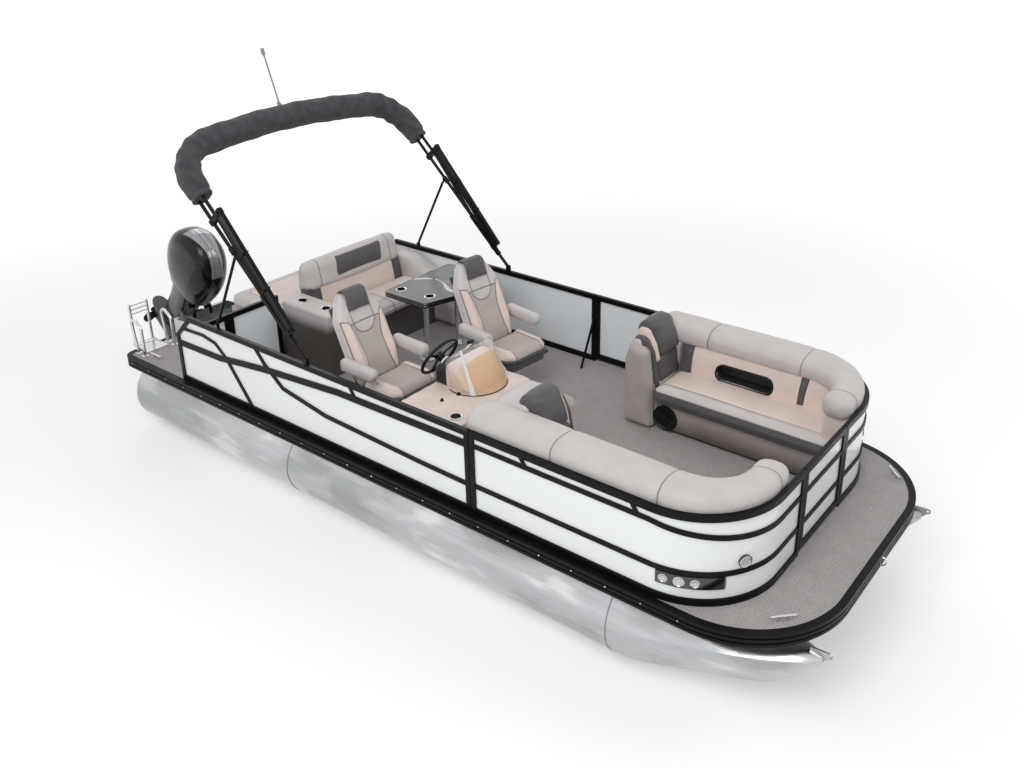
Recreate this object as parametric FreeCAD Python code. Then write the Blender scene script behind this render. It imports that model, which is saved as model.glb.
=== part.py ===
import FreeCAD, Part
import math
import os

# A pontoon boat on its two aluminium tubes, as it stands parked on a floor.
# Millimetres. While the pieces are made, X runs forward from the deck's rear edge, Y to port and Z up from
# the floor. The last function moves the boat so that the middle of its length is at X = 0.

V = FreeCAD.Vector
UP = V(0, 0, 1)
ACROSS = V(0, 1, 0)
AHEAD = V(1, 0, 0)
ORIGIN = V(0, 0, 0)

# Hull
beam = 2590.0
deck_length = 6757.0
deck_above_tube_centre = 470.0
deck_thickness = 24.0
deck_front_radius = 735.0
deck_rear_radius = 110.0
rub_rail_depth = 91.0
rub_rail_width = 42.0
rub_lip_reach = 9.0
rub_lip_height = 4.0
rub_groove = 7.0
tube_diameter = 635.0
tube_spacing = 1810.0
tube_aft_x = -30.0
tube_end_dome = 30.0
cap_share = 0.9
round_chine = 0.12
nose_length = 1352.0
nose_setback = 5.0
keel_depth = 12.0
keel_width = 30.0
riser_width = 110.0
riser_wall = 6.0
riser_start_x = 120.0
riser_front_gap = 507.0
member_height = 76.0
member_width = 60.0
member_wall = 4.0
member_pitch = 406.0
member_overhang = 95.0
clearance = 0.3
overrun = 20.0

# Fences and gates
fence_outer_y = 1243.4
fence_front_x = 6315.0
fence_aft_x = 888.0
fence_height = 656.0
fence_corner_radius = 600.0
fence_depth = 32.0
top_rail = 45.0
bottom_rail = 50.0
post_width = 40.0
section_gap = 6.0
panel_inset = 14.0
panel_thickness = 3.0
strip_relief = 11.0
strip_thin = 26.0
strip_mid = 34.0
strip_wide = 54.0
chamfer_height = 449.0
chamfer_run = 218.0
mid_post_x = 4274.0
port_post_x = 3632.0
side_gate_width = 720.0
front_gate_starboard_y = -330.0
front_gate_port_y = 347.0
rear_fence_x = 1304.0
rear_gate_post_y = -1000.0
rear_gate_width = 520.0
gate_gap = 8.0
gate_foot = 30.0
hinge_radius = 9.0
hinge_length = 36.0
hinge_leaf = 34.0
hinge_leaf_thickness = 4.0
upper_strip_z = 550.0
upper_strip_front_z = 470.0
lower_strip_z = 232.0
brace_height = 430.0
brace_foot_y = 1020.0
brace_radius = 11.0

# Front lounges
lounge_start_x = 4700.0
lounge_inner_y = 450.0
lounge_kick = 60.0
lounge_height = 330.0
cushion_thickness = 100.0
cushion_edge = 26.0
bolster_radius = 118.0
bolster_top = 735.0
starboard_back_x = 4156.0
port_back_x = 4405.0
end_back_height = 850.0
end_back_top = 95.0

# Rear seats
bench_x = 1240.0
bench_front_x = 1850.0
bench_starboard_y = -190.0
bench_port_y = 985.0
bench_back_height = 860.0
bench_back_foot = 210.0
bench_overhang = 60.0
aft_lounge_x = 505.0
aft_lounge_starboard_y = -420.0
aft_lounge_port_y = 1100.0
aft_cushion_thickness = 120.0
stand_x = 1345.0
stand_length = 610.0
stand_starboard_y = -455.0
stand_width = 250.0
stand_height = 600.0
coaming_length = 860.0
coaming_gap = 6.0

# Cup holders and table
cup_radius = 38.0
cup_depth = 62.0
cup_pitch = 305.0
cup_wall = 4.0
table_height = 700.0
table_thickness = 28.0
table_aft_x = 2110.0
table_length = 590.0
table_starboard_y = 100.0
table_width = 850.0
table_leg_x = 2365.0
table_leg_y = 340.0
table_leg_spread = 430.0
table_leg_radius = 30.0
table_foot_radius = 80.0

# Helm
console_x = 3560.0
console_length = 590.0
console_inner_y = -330.0
console_height = 620.0
console_rake = 60.0
dash_height = 800.0
dash_length = 430.0
dash_starboard_y = -900.0
screen_x = 3820.0
screen_y = -618.0
screen_radius = 250.0
screen_height = 340.0
screen_thickness = 6.0
screen_lean = 105.0
wheel_radius = 172.0
wheel_rim = 13.0
wheel_hub_radius = 40.0
wheel_lean = 30.0
wheel_x = 3455.0
wheel_y = -630.0
wheel_height = 735.0
spoke_width = 26.0
spoke_thickness = 9.0
column_radius = 24.0

# Swivel seats
helm_seat_x = 2950.0
helm_seat_y = -690.0
companion_seat_x = 3280.0
companion_seat_y = 330.0
companion_turn = -6.0
seat_width = 500.0
seat_reach = 320.0
seat_back_reach = 60.0
seat_base_height = 345.0
seat_height = 470.0
seat_back_width = 440.0
seat_back_height = 1120.0
seat_back_thickness = 95.0
seat_recline = 23.0
shell_thickness = 26.0
headrest_width = 220.0
headrest_drop = 150.0
headrest_thickness = 42.0
pedestal_radius = 45.0
pedestal_foot_radius = 190.0
pedestal_foot_height = 22.0
swivel_plate = 16.0
arm_height = 640.0
arm_thickness = 70.0
arm_width = 62.0
arm_reach = 150.0

# Folded top
top_pivot_x = 2614.0
top_pivot_rise = 34.0
top_lean = 46.0
bow_radius = 15.0
bow_leg = 2020.0
bow_top = 2150.0
bow_corner_radius = 400.0
bow_crown_radius = 5200.0
sleeve_width = 34.0
sleeve_start = 150.0
sleeve_end = 620.0
second_bow_start = 560.0
second_bow_offset = 78.0
second_bow_knee = 1250.0
boot_start = 1560.0
boot_width = 130.0
boot_depth = 205.0
boot_wall = 8.0
boot_corner = 60.0
strut_foot_x = 1467.0
strut_reach = 1050.0
strut_radius = 12.0
strut_offset = 40.0
ear_thickness = 6.0
eye_width = 14.0
ear_radius = 20.0
pin_radius = 5.0
pin_clearance = 0.4
light_pole_height = 440.0
light_pole_lean = 18.7
light_pole_radius = 8.0
light_base_radius = 17.0
light_base_height = 60.0

# Ladder
ladder_starboard_y = -1180.0
ladder_port_y = -870.0
hoop_radius = 14.0
hoop_height = 400.0
hoop_front_x = 200.0
hoop_aft_x = 90.0
hoop_bend = 50.0
flange_radius = 30.0
flange_thickness = 6.0
ladder_hinge_x = -62.0
ladder_plate_thickness = 8.0
ladder_plate_length = 110.0
ladder_inset = 45.0
ladder_rail_radius = 13.0
ladder_length = 400.0
rung_radius = 10.0
rung_pitch = 42.0
rung_count = 3

# Outboard, in its own frame: X forward and Z up from the tilt tube, with the leg upright
motor_pivot_x = -700.0
motor_pivot_drop = 100.0
motor_tilt = 38.0
transom_thickness = 45.0
transom_x = -645.0
transom_drop = 165.0
pod_width = 640.0
pod_front_x = 900.0
pod_front_height = 140.0
pod_bottom_z = 190.0
pod_chine_x = -200.0
pod_well_z = 400.0
pod_wall = 8.0
clamp_spacing = 214.0
clamp_thickness = 16.0
clamp_reach = 70.0
clamp_drop = 330.0
clamp_rise = 32.0
tilt_tube_radius = 21.0
tilt_barrel_radius = 34.0
swivel_width = 180.0
steer_offset = 115.0
kingpin_radius = 14.0
kingpin_tube_radius = 27.0
swivel_drop = 330.0
swivel_arm_depth = 200.0
pan_z = 98.0
pan_thickness = 14.0
cowl_aft = 600.0
cowl_length = 740.0
cowl_width = 436.0
cowl_height = 695.0
cowl_wall = 7.0
block_length = 330.0
block_width = 230.0
block_height = 430.0
leg_length = 605.0
leg_chord = 240.0
leg_width = 200.0
plate_length = 560.0
plate_width = 210.0
plate_thickness = 12.0
gearcase_drop = 790.0
gearcase_radius = 58.0
gearcase_length = 465.0
gearcase_nose_x = 60.0
skeg_drop = 962.0
skeg_thickness = 9.0
propeller_radius = 163.0
propeller_hub_radius = 50.0
propeller_length = 125.0
propeller_gap = 6.0
blade_count = 3
blade_pitch = 28.0
blade_thickness = 6.0
blade_chord = 120.0

# Fittings
cleat_length = 165.0
cleat_height = 45.0
cleat_radius = 9.0
bow_cleat_gap = 257.0
bow_cleat_inset = 334.0
stern_cleat_x = 330.0
stern_cleat_inset = 145.0
bow_ring_radius = 30.0
bow_ring_wire = 6.0
tow_eye_reach = 37.0
tow_eye_drop = 158.0
tow_eye_radius = 9.5
tow_eye_plate = 10.0
lamp_x = 5770.0
lamp_length = 380.0
lamp_low = 125.0
lamp_high = 212.0
round_lamp_radius = 45.0
round_lamp_turn = -31.0
round_lamp_height = 300.0

# Worked-out places
tube_radius = tube_diameter / 2
tube_y = tube_spacing / 2
tube_z = keel_depth + tube_radius
deck_z = tube_z + deck_above_tube_centre
deck_under_z = deck_z - deck_thickness
member_z = deck_under_z - member_height
half_beam = beam / 2
nose_tip_x = deck_length - nose_setback
nose_start_x = nose_tip_x - nose_length
riser_end_x = deck_length - riser_front_gap
tow_eye_x = nose_tip_x + tow_eye_reach
bow_cleat_x = deck_length - bow_cleat_gap
bow_cleat_y = half_beam - bow_cleat_inset
stern_cleat_y = half_beam - stern_cleat_inset
fence_inner_y = fence_outer_y - fence_depth
fence_top_z = deck_z + fence_height
rail_y = fence_outer_y - fence_depth / 2
transom_top_z = deck_z - transom_drop
transom_aft_x = transom_x - transom_thickness
motor_pivot_z = deck_z - motor_pivot_drop
top_pivot_z = fence_top_z + top_pivot_rise
strut_y = rail_y - strut_offset
rear_gate_y = rear_gate_post_y + gate_gap
front_gate_hinge_y = front_gate_port_y - gate_gap
side_gate_hinge_x = port_post_x + side_gate_width - gate_gap
ladder_hinge_z = deck_z + rub_lip_height + ladder_plate_thickness + ladder_rail_radius + clearance
swivel_top = pan_z - clearance
seat_slope = math.tan(math.radians(seat_recline))

nodes = {}


def block(x0, x1, y0, y1, z0, z1):
    """A box between two corners."""
    return Part.makeBox(x1 - x0, y1 - y0, z1 - z0, V(x0, y0, z0))


def soft_block(x0, x1, y0, y1, z0, z1, radius):
    """A box with every edge rounded, the plain body of a cushion."""
    body = block(x0, x1, y0, y1, z0, z1)
    return body.makeFillet(radius, body.Edges)


def rod(start, end, radius):
    """A round bar from one point to another."""
    run = end - start
    return Part.makeCylinder(radius, run.Length, start, run)


def prism(points, y0, y1):
    """A side profile of (x, z) points, carried across from y0 to y1."""
    corners = [V(x, y0, z) for x, z in points]
    face = Part.Face(Part.makePolygon(corners + corners[:1]))
    return face.extrude(V(0, y1 - y0, 0))


def plate(points, z0, z1):
    """A plan of (x, y) points, carried up from z0 to z1."""
    corners = [V(x, y, z0) for x, y in points]
    face = Part.Face(Part.makePolygon(corners + corners[:1]))
    return face.extrude(V(0, 0, z1 - z0))


def joined(shapes):
    """One solid from several that overlap or share a face."""
    return shapes[0].fuse(shapes[1:]).removeSplitter()


def group(shapes):
    """Like pieces that stay apart and share a node."""
    return Part.makeCompound(shapes)


def port_of(shape):
    """The port twin of a starboard piece."""
    return shape.mirror(ORIGIN, ACROSS)


def set_down(shape, x, y, turn=0.0):
    """A copy turned about its own upright axis and moved to a place on the deck."""
    copy = shape.copy()
    copy.rotate(ORIGIN, UP, turn)
    copy.translate(V(x, y, deck_z))
    return copy


def bent_path(points, bends):
    """A wire through points, each inner corner an arc of its own bend radius."""
    edges = []
    start = points[0]
    for before, corner, after, bend in zip(points, points[1:], points[2:], bends):
        back = (before - corner).normalize()
        ahead = (after - corner).normalize()
        half = back.getAngle(ahead) / 2
        first = corner + back * (bend / math.tan(half))
        last = corner + ahead * (bend / math.tan(half))
        inward = (back + ahead).normalize()
        on_arc = corner + inward * (bend / math.sin(half) - bend)
        edges.append(Part.LineSegment(start, first).toShape())
        edges.append(Part.Arc(first, on_arc, last).toShape())
        start = last
    edges.append(Part.LineSegment(start, points[-1]).toShape())
    return Part.Wire(edges)


def bent_rod(points, bends, radius):
    """A round bar along a bent path."""
    section = Part.Wire(Part.Circle(points[0], points[1] - points[0], radius).toShape())
    return bent_path(points, bends).makePipeShell([section], True, True)


def corner_plan(half_width, front_x, rear_x, front_radius, rear_radius, z):
    """A deck plan: two large front corners and two small rear ones."""
    front = front_x - front_radius
    rear = rear_x + rear_radius
    wide = half_width - front_radius
    narrow = half_width - rear_radius
    slant = math.sqrt(0.5)
    corners = [
        (V(front, -half_width, z), V(front, -wide, z), V(1, -1, 0), V(front_x, -wide, z), front_radius),
        (V(front_x, wide, z), V(front, wide, z), V(1, 1, 0), V(front, half_width, z), front_radius),
        (V(rear, half_width, z), V(rear, narrow, z), V(-1, 1, 0), V(rear_x, narrow, z), rear_radius),
        (V(rear_x, -narrow, z), V(rear, -narrow, z), V(-1, -1, 0), V(rear, -half_width, z), rear_radius),
    ]
    edges = []
    last = corners[-1][3]
    for start, centre, way, end, radius in corners:
        edges.append(Part.LineSegment(last, start).toShape())
        edges.append(Part.Arc(start, centre + way * (slant * radius), end).toShape())
        last = end
    return Part.Wire(edges)


def deck_slab(inset, z0, z1):
    """The deck's plan, set in from the rub rail's outer face, between two heights."""
    plan = corner_plan(
        half_beam - inset, deck_length - inset, inset, deck_front_radius - inset, deck_rear_radius - inset, z0
    )
    return Part.Face(plan).extrude(V(0, 0, z1 - z0))


def tube_frame(x, wide, chine, crown, keel, fullness, share=1.0):
    """One frame of the starboard tube: a round crown down to the chine, then two cheeks that meet at the keel."""
    radius = tube_radius * share
    centre = V(x, -tube_y, tube_z)
    foot = centre - UP * (keel * radius)
    top = centre + UP * (crown * radius)
    right = centre + V(0, wide * radius, chine * radius)
    left = centre + V(0, -wide * radius, chine * radius)
    # At fullness 1 a cheek is the circle's own arc, whose rise over its chord is this share of the chord.
    half_turn = (math.pi / 2 + math.asin(round_chine)) / 2
    rise_share = (1 - math.cos(half_turn)) / (2 * math.sin(half_turn))
    cheeks = []
    for corner, sign in ((right, 1), (left, -1)):
        chord = foot - corner
        outward = V(0, -chord.z, chord.y) * sign
        cheeks.append((corner + foot) * 0.5 + outward * (rise_share * fullness))
    return Part.Wire(
        [
            Part.Arc(left, top, right).toShape(),
            Part.Arc(right, cheeks[0], foot).toShape(),
            Part.Arc(foot, cheeks[1], left).toShape(),
        ]
    )


def pontoon():
    """The starboard tube with its nose, stern cap, keel, riser and tow eye."""
    keel_start = tube_aft_x + tube_end_dome
    round_shares = (math.sqrt(1 - round_chine**2), round_chine, 1.0, 1.0, 1.0)
    rim = tube_frame(keel_start, *round_shares)
    barrel = Part.Face(rim).extrude(V(nose_start_x - keel_start, 0, 0))
    cap = Part.makeLoft([tube_frame(tube_aft_x, *round_shares, cap_share), rim], True, True)
    # Each row: place along the nose, then half width and height at the chine, crown, keel and fullness of cheek.
    frame_shares = [
        (0.0, *round_shares),
        (0.2, 0.968, 0.27, 1.0, 0.965, 0.85),
        (0.41, 0.885, 0.46, 1.0, 0.79, 0.55),
        (0.62, 0.75, 0.64, 0.995, 0.53, 0.35),
        (0.80, 0.54, 0.77, 0.98, 0.14, 0.25),
        (0.92, 0.31, 0.83, 0.95, -0.33, 0.2),
        (1.0, 0.1, 0.84, 0.9, -0.74, 0.2),
    ]
    frames = [tube_frame(nose_start_x + nose_length * along, *shares) for along, *shares in frame_shares]
    nose = Part.makeLoft(frames, True, False)
    half_keel = keel_width / 2
    half_riser = riser_width / 2
    keel_end = nose_start_x + overrun
    keel = block(keel_start, keel_end, -tube_y - half_keel, -tube_y + half_keel, 0, keel_depth * 2)
    leg_foot_z = tube_z + math.sqrt(tube_radius**2 - half_riser**2) - riser_wall
    inner_y = -tube_y + half_riser
    outer_y = -tube_y - half_riser
    riser = [block(riser_start_x, riser_end_x, outer_y, inner_y, member_z - riser_wall, member_z)]
    for y in (outer_y, inner_y - riser_wall):
        riser.append(block(riser_start_x, riser_end_x, y, y + riser_wall, leg_foot_z, member_z))
    half_eye = tow_eye_plate / 2
    eye_z = deck_z - tow_eye_drop
    lug_radius = tow_eye_radius * 2.2
    lug_root_x = nose_tip_x - lug_radius * 4
    eye = Part.makeCylinder(lug_radius, tow_eye_plate, V(tow_eye_x, -tube_y - half_eye, eye_z), ACROSS)
    web = prism(
        [
            (lug_root_x, eye_z - lug_radius * 3),
            (lug_root_x, eye_z + lug_radius * 0.7),
            (tow_eye_x, eye_z + lug_radius),
            (tow_eye_x, eye_z - lug_radius),
            (nose_tip_x - lug_radius * 0.2, eye_z - lug_radius * 3),
        ],
        -tube_y - half_eye,
        -tube_y + half_eye,
    )
    hole_start = V(tow_eye_x, -tube_y - half_eye - overrun, eye_z)
    hole = Part.makeCylinder(tow_eye_radius, tow_eye_plate + 2 * overrun, hole_start, ACROSS)
    return joined([barrel, nose, cap, keel] + riser + [eye, web]).cut(hole)


def cross_members():
    """Box channels across both tubes, one pitch apart, that carry the deck."""
    pieces = []
    reach = half_beam - member_overhang
    count = int((riser_end_x - riser_start_x - member_width) / member_pitch) + 1
    for i in range(count):
        x = riser_start_x + i * member_pitch
        outer = block(x, x + member_width, -reach, reach, member_z, deck_under_z)
        inner = block(
            x + member_wall,
            x + member_width - member_wall,
            -reach - overrun,
            reach + overrun,
            member_z + member_wall,
            deck_under_z - member_wall,
        )
        pieces.append(outer.cut(inner))
    return group(pieces)


def motor_pod():
    """The pod that floats the motor: raked bottom, splash well and transom."""
    half = pod_width / 2
    shell = prism(
        [
            (transom_aft_x, pod_bottom_z),
            (transom_aft_x, transom_top_z),
            (transom_x, transom_top_z),
            (0, member_z),
            (pod_front_x, member_z),
            (pod_front_x, member_z - pod_front_height),
            (pod_chine_x, pod_bottom_z),
        ],
        -half,
        half,
    )
    well = block(transom_x, 0, -half + pod_wall, half - pod_wall, pod_well_z, member_z + overrun)
    return shell.cut(well)


def rub_rail():
    """The bumper extrusion round the deck: a lip on top and two grooves along its face."""
    foot_z = deck_z - rub_rail_depth
    groove_shares = (0.0, 0.24, 0.36, 0.62, 0.74, 1.0)
    levels = [foot_z + rub_rail_depth * share for share in groove_shares]
    rings = []
    for i, (low, high) in enumerate(zip(levels, levels[1:])):
        inset = rub_groove if i % 2 else 0
        rings.append(deck_slab(inset, low, high).cut(deck_slab(rub_rail_width, low, high)))
    lip_inset = rub_rail_width + rub_lip_reach
    lip_z = deck_z + rub_lip_height
    rings.append(deck_slab(0, deck_z, lip_z).cut(deck_slab(lip_inset, deck_z, lip_z)))
    return joined(rings)


def fence_line(inset, start_x, end_y, z):
    """The starboard fence line in plan, set in from its outer face: straight, round corner, then across."""
    radius = fence_corner_radius - inset
    centre = V(fence_front_x - fence_corner_radius, -fence_outer_y + fence_corner_radius, z)
    side = V(centre.x, -fence_outer_y + inset, z)
    front = V(fence_front_x - inset, centre.y, z)
    middle = centre + V(1, -1, 0) * (math.sqrt(0.5) * radius)
    start = V(start_x, side.y, z)
    end = V(front.x, end_y, z)
    edges = [
        Part.LineSegment(start, side).toShape(),
        Part.Arc(side, middle, front).toShape(),
        Part.LineSegment(front, end).toShape(),
    ]
    return start, edges, end


def band(start_x, end_y, near, far, z0, z1):
    """A wall along the starboard fence line, between two insets from its outer face."""
    start_a, edges_a, end_a = fence_line(near, start_x, end_y, z0)
    start_b, edges_b, end_b = fence_line(far, start_x, end_y, z0)
    caps = [Part.LineSegment(start_a, start_b).toShape(), Part.LineSegment(end_a, end_b).toShape()]
    wire = Part.Wire(Part.__sortEdges__(edges_a + edges_b + caps))
    return Part.Face(wire).extrude(V(0, 0, z1 - z0))


def corner_pad(start_x, inset, inner_y, z0, z1):
    """What fills the corner inside the starboard fence, from an inset of its line to a straight inner side."""
    start, edges, end = fence_line(inset, start_x, -inner_y, z0)
    inner = V(start_x, -inner_y, z0)
    caps = [Part.LineSegment(end, inner).toShape(), Part.LineSegment(inner, start).toShape()]
    wire = Part.Wire(Part.__sortEdges__(edges + caps))
    return Part.Face(wire).extrude(V(0, 0, z1 - z0))


def strip(points, width, y0, y1):
    """A raised rail on a panel: straight runs through (x, z) points with round elbows."""
    half = width / 2
    pieces = []
    for (x0, z0), (x1, z1) in zip(points, points[1:]):
        length = math.hypot(x1 - x0, z1 - z0)
        dx = (x1 - x0) / length * half
        dz = (z1 - z0) / length * half
        outline = [(x0 - dz, z0 + dx), (x1 - dz, z1 + dx), (x1 + dz, z1 - dx), (x0 + dz, z0 - dx)]
        pieces.append(prism(outline, y0, y1))
    for x, z in points[1:-1]:
        pieces.append(Part.makeCylinder(half, y1 - y0, V(x, y0, z), ACROSS))
    return joined(pieces)


def aft_outline(end_x, side, low, high):
    """The aft fence's side profile with its raked rear corner, set in by a side, a low and a high margin."""
    slack = side * 0.2
    return [
        (fence_aft_x + side, deck_z + low),
        (fence_aft_x + side, deck_z + chamfer_height - slack),
        (fence_aft_x + chamfer_run + slack, fence_top_z - high),
        (end_x - side, fence_top_z - high),
        (end_x - side, deck_z + low),
    ]


def aft_fence(end_x):
    """The starboard aft fence frame with its flowing raised rails, ending in a post at end_x."""
    frame = prism(aft_outline(end_x, 0, 0, 0), -fence_outer_y, -fence_inner_y)
    opening = aft_outline(end_x, post_width, bottom_rail, top_rail)
    frame = frame.cut(prism(opening, -fence_outer_y - overrun, -fence_inner_y + overrun))
    y0 = -fence_outer_y + panel_inset - strip_relief
    y1 = -fence_outer_y + panel_inset
    run = mid_post_x - fence_aft_x
    # Each rail as (share of the fence's length, share of its height) from its rear foot.
    upper_shares = [(0.01, 0.79), (0.115, 0.815), (0.165, 0.77), (0.21, 0.585)]
    sweep_shares = [(0.005, 0.56), (0.175, 0.578), (0.26, 0.635), (0.37, 0.70), (0.61, 0.80), (0.995, 0.83)]
    steep_shares = [(0.205, 0.6), (0.285, 0.06)]
    long_shares = [(0.325, 0.95), (0.355, 0.77), (0.415, 0.53), (0.56, 0.405), (0.86, 0.35), (0.995, 0.34)]
    short_shares = [(0.652, 0.95), (0.668, 0.82)]
    rails = [
        (upper_shares, strip_thin),
        (sweep_shares, strip_wide),
        (steep_shares, strip_mid),
        (long_shares, strip_mid),
        (short_shares, strip_thin),
    ]
    solids = []
    for shares, width in rails:
        points = [(fence_aft_x + run * along, deck_z + fence_height * up) for along, up in shares]
        solids.append(strip(points, width, y0, y1))
    inside = prism(aft_outline(end_x, post_width / 2, bottom_rail / 2, top_rail / 2), y0, y1)
    return joined([frame, joined(solids).common(inside)])


def front_fence(start_x, end_y):
    """The front fence frame: side, round corner and the stub that ends in the gate post."""
    pieces = [
        band(start_x, end_y, 0, fence_depth, deck_z, deck_z + bottom_rail),
        band(start_x, end_y, 0, fence_depth, fence_top_z - top_rail, fence_top_z),
        block(start_x, start_x + post_width, -fence_outer_y, -fence_inner_y, deck_z, fence_top_z),
        block(fence_front_x - fence_depth, fence_front_x, end_y - post_width, end_y, deck_z, fence_top_z),
    ]
    relief = panel_inset - strip_relief
    half = strip_mid / 2
    low_z = deck_z + lower_strip_z
    high_z = deck_z + upper_strip_z
    front_z = deck_z + upper_strip_front_z
    bend_x = fence_front_x - fence_corner_radius
    pieces.append(band(start_x, end_y, relief, panel_inset, low_z - half, low_z + half))
    dipping = [
        (start_x, high_z - half),
        (bend_x, high_z - half),
        (fence_front_x, front_z - half),
        (fence_front_x, front_z + half),
        (bend_x, high_z + half),
        (start_x, high_z + half),
    ]
    wall = band(start_x, end_y, relief, panel_inset, deck_z, fence_top_z)
    pieces.append(wall.common(prism(dipping, -half_beam, half_beam)))
    y0 = -fence_outer_y + relief
    y1 = -fence_outer_y + panel_inset
    run = bend_x - mid_post_x
    slant_shares = (0.3, 0.9)
    lean = run * 0.042
    for share in slant_shares:
        x = mid_post_x + run * share
        if x > start_x + post_width:
            pieces.append(strip([(x, fence_top_z - top_rail / 2), (x + lean, high_z)], strip_thin, y0, y1))
    return joined(pieces)


def fence_panels():
    """The skins that close the fixed fences, edge to edge with their frames."""
    y0 = -fence_outer_y + panel_inset
    y1 = y0 + panel_thickness
    far = panel_inset + panel_thickness
    low_z = deck_z + bottom_rail
    high_z = fence_top_z - top_rail
    starboard_x = mid_post_x + section_gap + post_width
    port_x = port_post_x + side_gate_width + post_width
    rear_x = rear_fence_x + panel_inset
    return group(
        [
            prism(aft_outline(mid_post_x, post_width, bottom_rail, top_rail), y0, y1),
            port_of(prism(aft_outline(port_post_x, post_width, bottom_rail, top_rail), y0, y1)),
            band(starboard_x, front_gate_starboard_y - post_width, panel_inset, far, low_z, high_z),
            port_of(band(port_x, -front_gate_port_y - post_width, panel_inset, far, low_z, high_z)),
            block(rear_x, rear_x + panel_thickness, -fence_inner_y, rear_gate_post_y - post_width, low_z, high_z),
        ]
    )


def hinge_part(z0, on_gate):
    """One barrel of a gate hinge with its leaf, for a gate that lies along +X with its inside at +Y."""
    axis = V(-gate_gap / 2, fence_depth + hinge_radius, z0)
    barrel = Part.makeCylinder(hinge_radius, hinge_length, axis)
    x0 = axis.x if on_gate else -hinge_leaf - gate_gap
    x1 = hinge_leaf if on_gate else axis.x
    leaf = block(x0, x1, fence_depth, fence_depth + hinge_leaf_thickness, z0, z0 + hinge_length)
    return joined([barrel, leaf])


def gate_hinges(on_gate):
    """The two barrels that a gate or its post carries, the gate's ones standing on the post's."""
    level_shares = (0.2, 0.78)
    lift = hinge_length + clearance if on_gate else 0
    return [hinge_part(fence_height * share + lift, on_gate) for share in level_shares]


def gate_frame(width, strips):
    """A gate lying along +X with its outer face at Y = 0: frame, raised rails and hinge barrels."""
    frame = block(0, width, 0, fence_depth, gate_foot, fence_height)
    x0 = post_width
    x1 = width - post_width
    low = gate_foot + bottom_rail
    pieces = [frame.cut(block(x0, x1, -overrun, fence_depth + overrun, low, fence_height - top_rail))]
    half = strip_mid / 2
    side = post_width / 2
    for z in strips:
        pieces.append(block(side, width - side, panel_inset - strip_relief, panel_inset, z - half, z + half))
    return joined(pieces + gate_hinges(True))


def gate_panel(width):
    """The skin of a gate lying along +X."""
    return block(
        post_width,
        width - post_width,
        panel_inset,
        panel_inset + panel_thickness,
        gate_foot + bottom_rail,
        fence_height - top_rail,
    )


def top_supports():
    """On the starboard top rail: the forked bracket of the folded top, and the strut's bracket aft of it."""
    pieces = []
    half = eye_width / 2
    root_z = fence_top_z - ear_thickness
    reach = half + clearance + ear_thickness
    for y0 in (-rail_y - reach, -rail_y + half + clearance):
        y1 = y0 + ear_thickness
        pieces.append(block(top_pivot_x - ear_radius, top_pivot_x + ear_radius, y0, y1, root_z, top_pivot_z))
        pieces.append(Part.makeCylinder(ear_radius, ear_thickness, V(top_pivot_x, y0, top_pivot_z), ACROSS))
    pieces.append(
        rod(V(top_pivot_x, -rail_y - reach, top_pivot_z), V(top_pivot_x, -rail_y + reach, top_pivot_z), pin_radius)
    )
    x0 = strut_foot_x - ear_radius
    x1 = strut_foot_x + ear_radius
    low_z = fence_top_z - top_rail / 2
    y0 = -strut_y - reach
    y1 = y0 + ear_thickness
    foot = V(strut_foot_x, y0, top_pivot_z)
    pieces.append(block(x0, x1, -fence_inner_y - ear_thickness, y1, low_z, root_z))
    pieces.append(block(x0, x1, y0, y1, low_z, top_pivot_z))
    pieces.append(Part.makeCylinder(ear_radius, ear_thickness, foot, ACROSS))
    pieces.append(rod(foot, foot + ACROSS * (reach + half), pin_radius))
    return pieces


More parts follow.
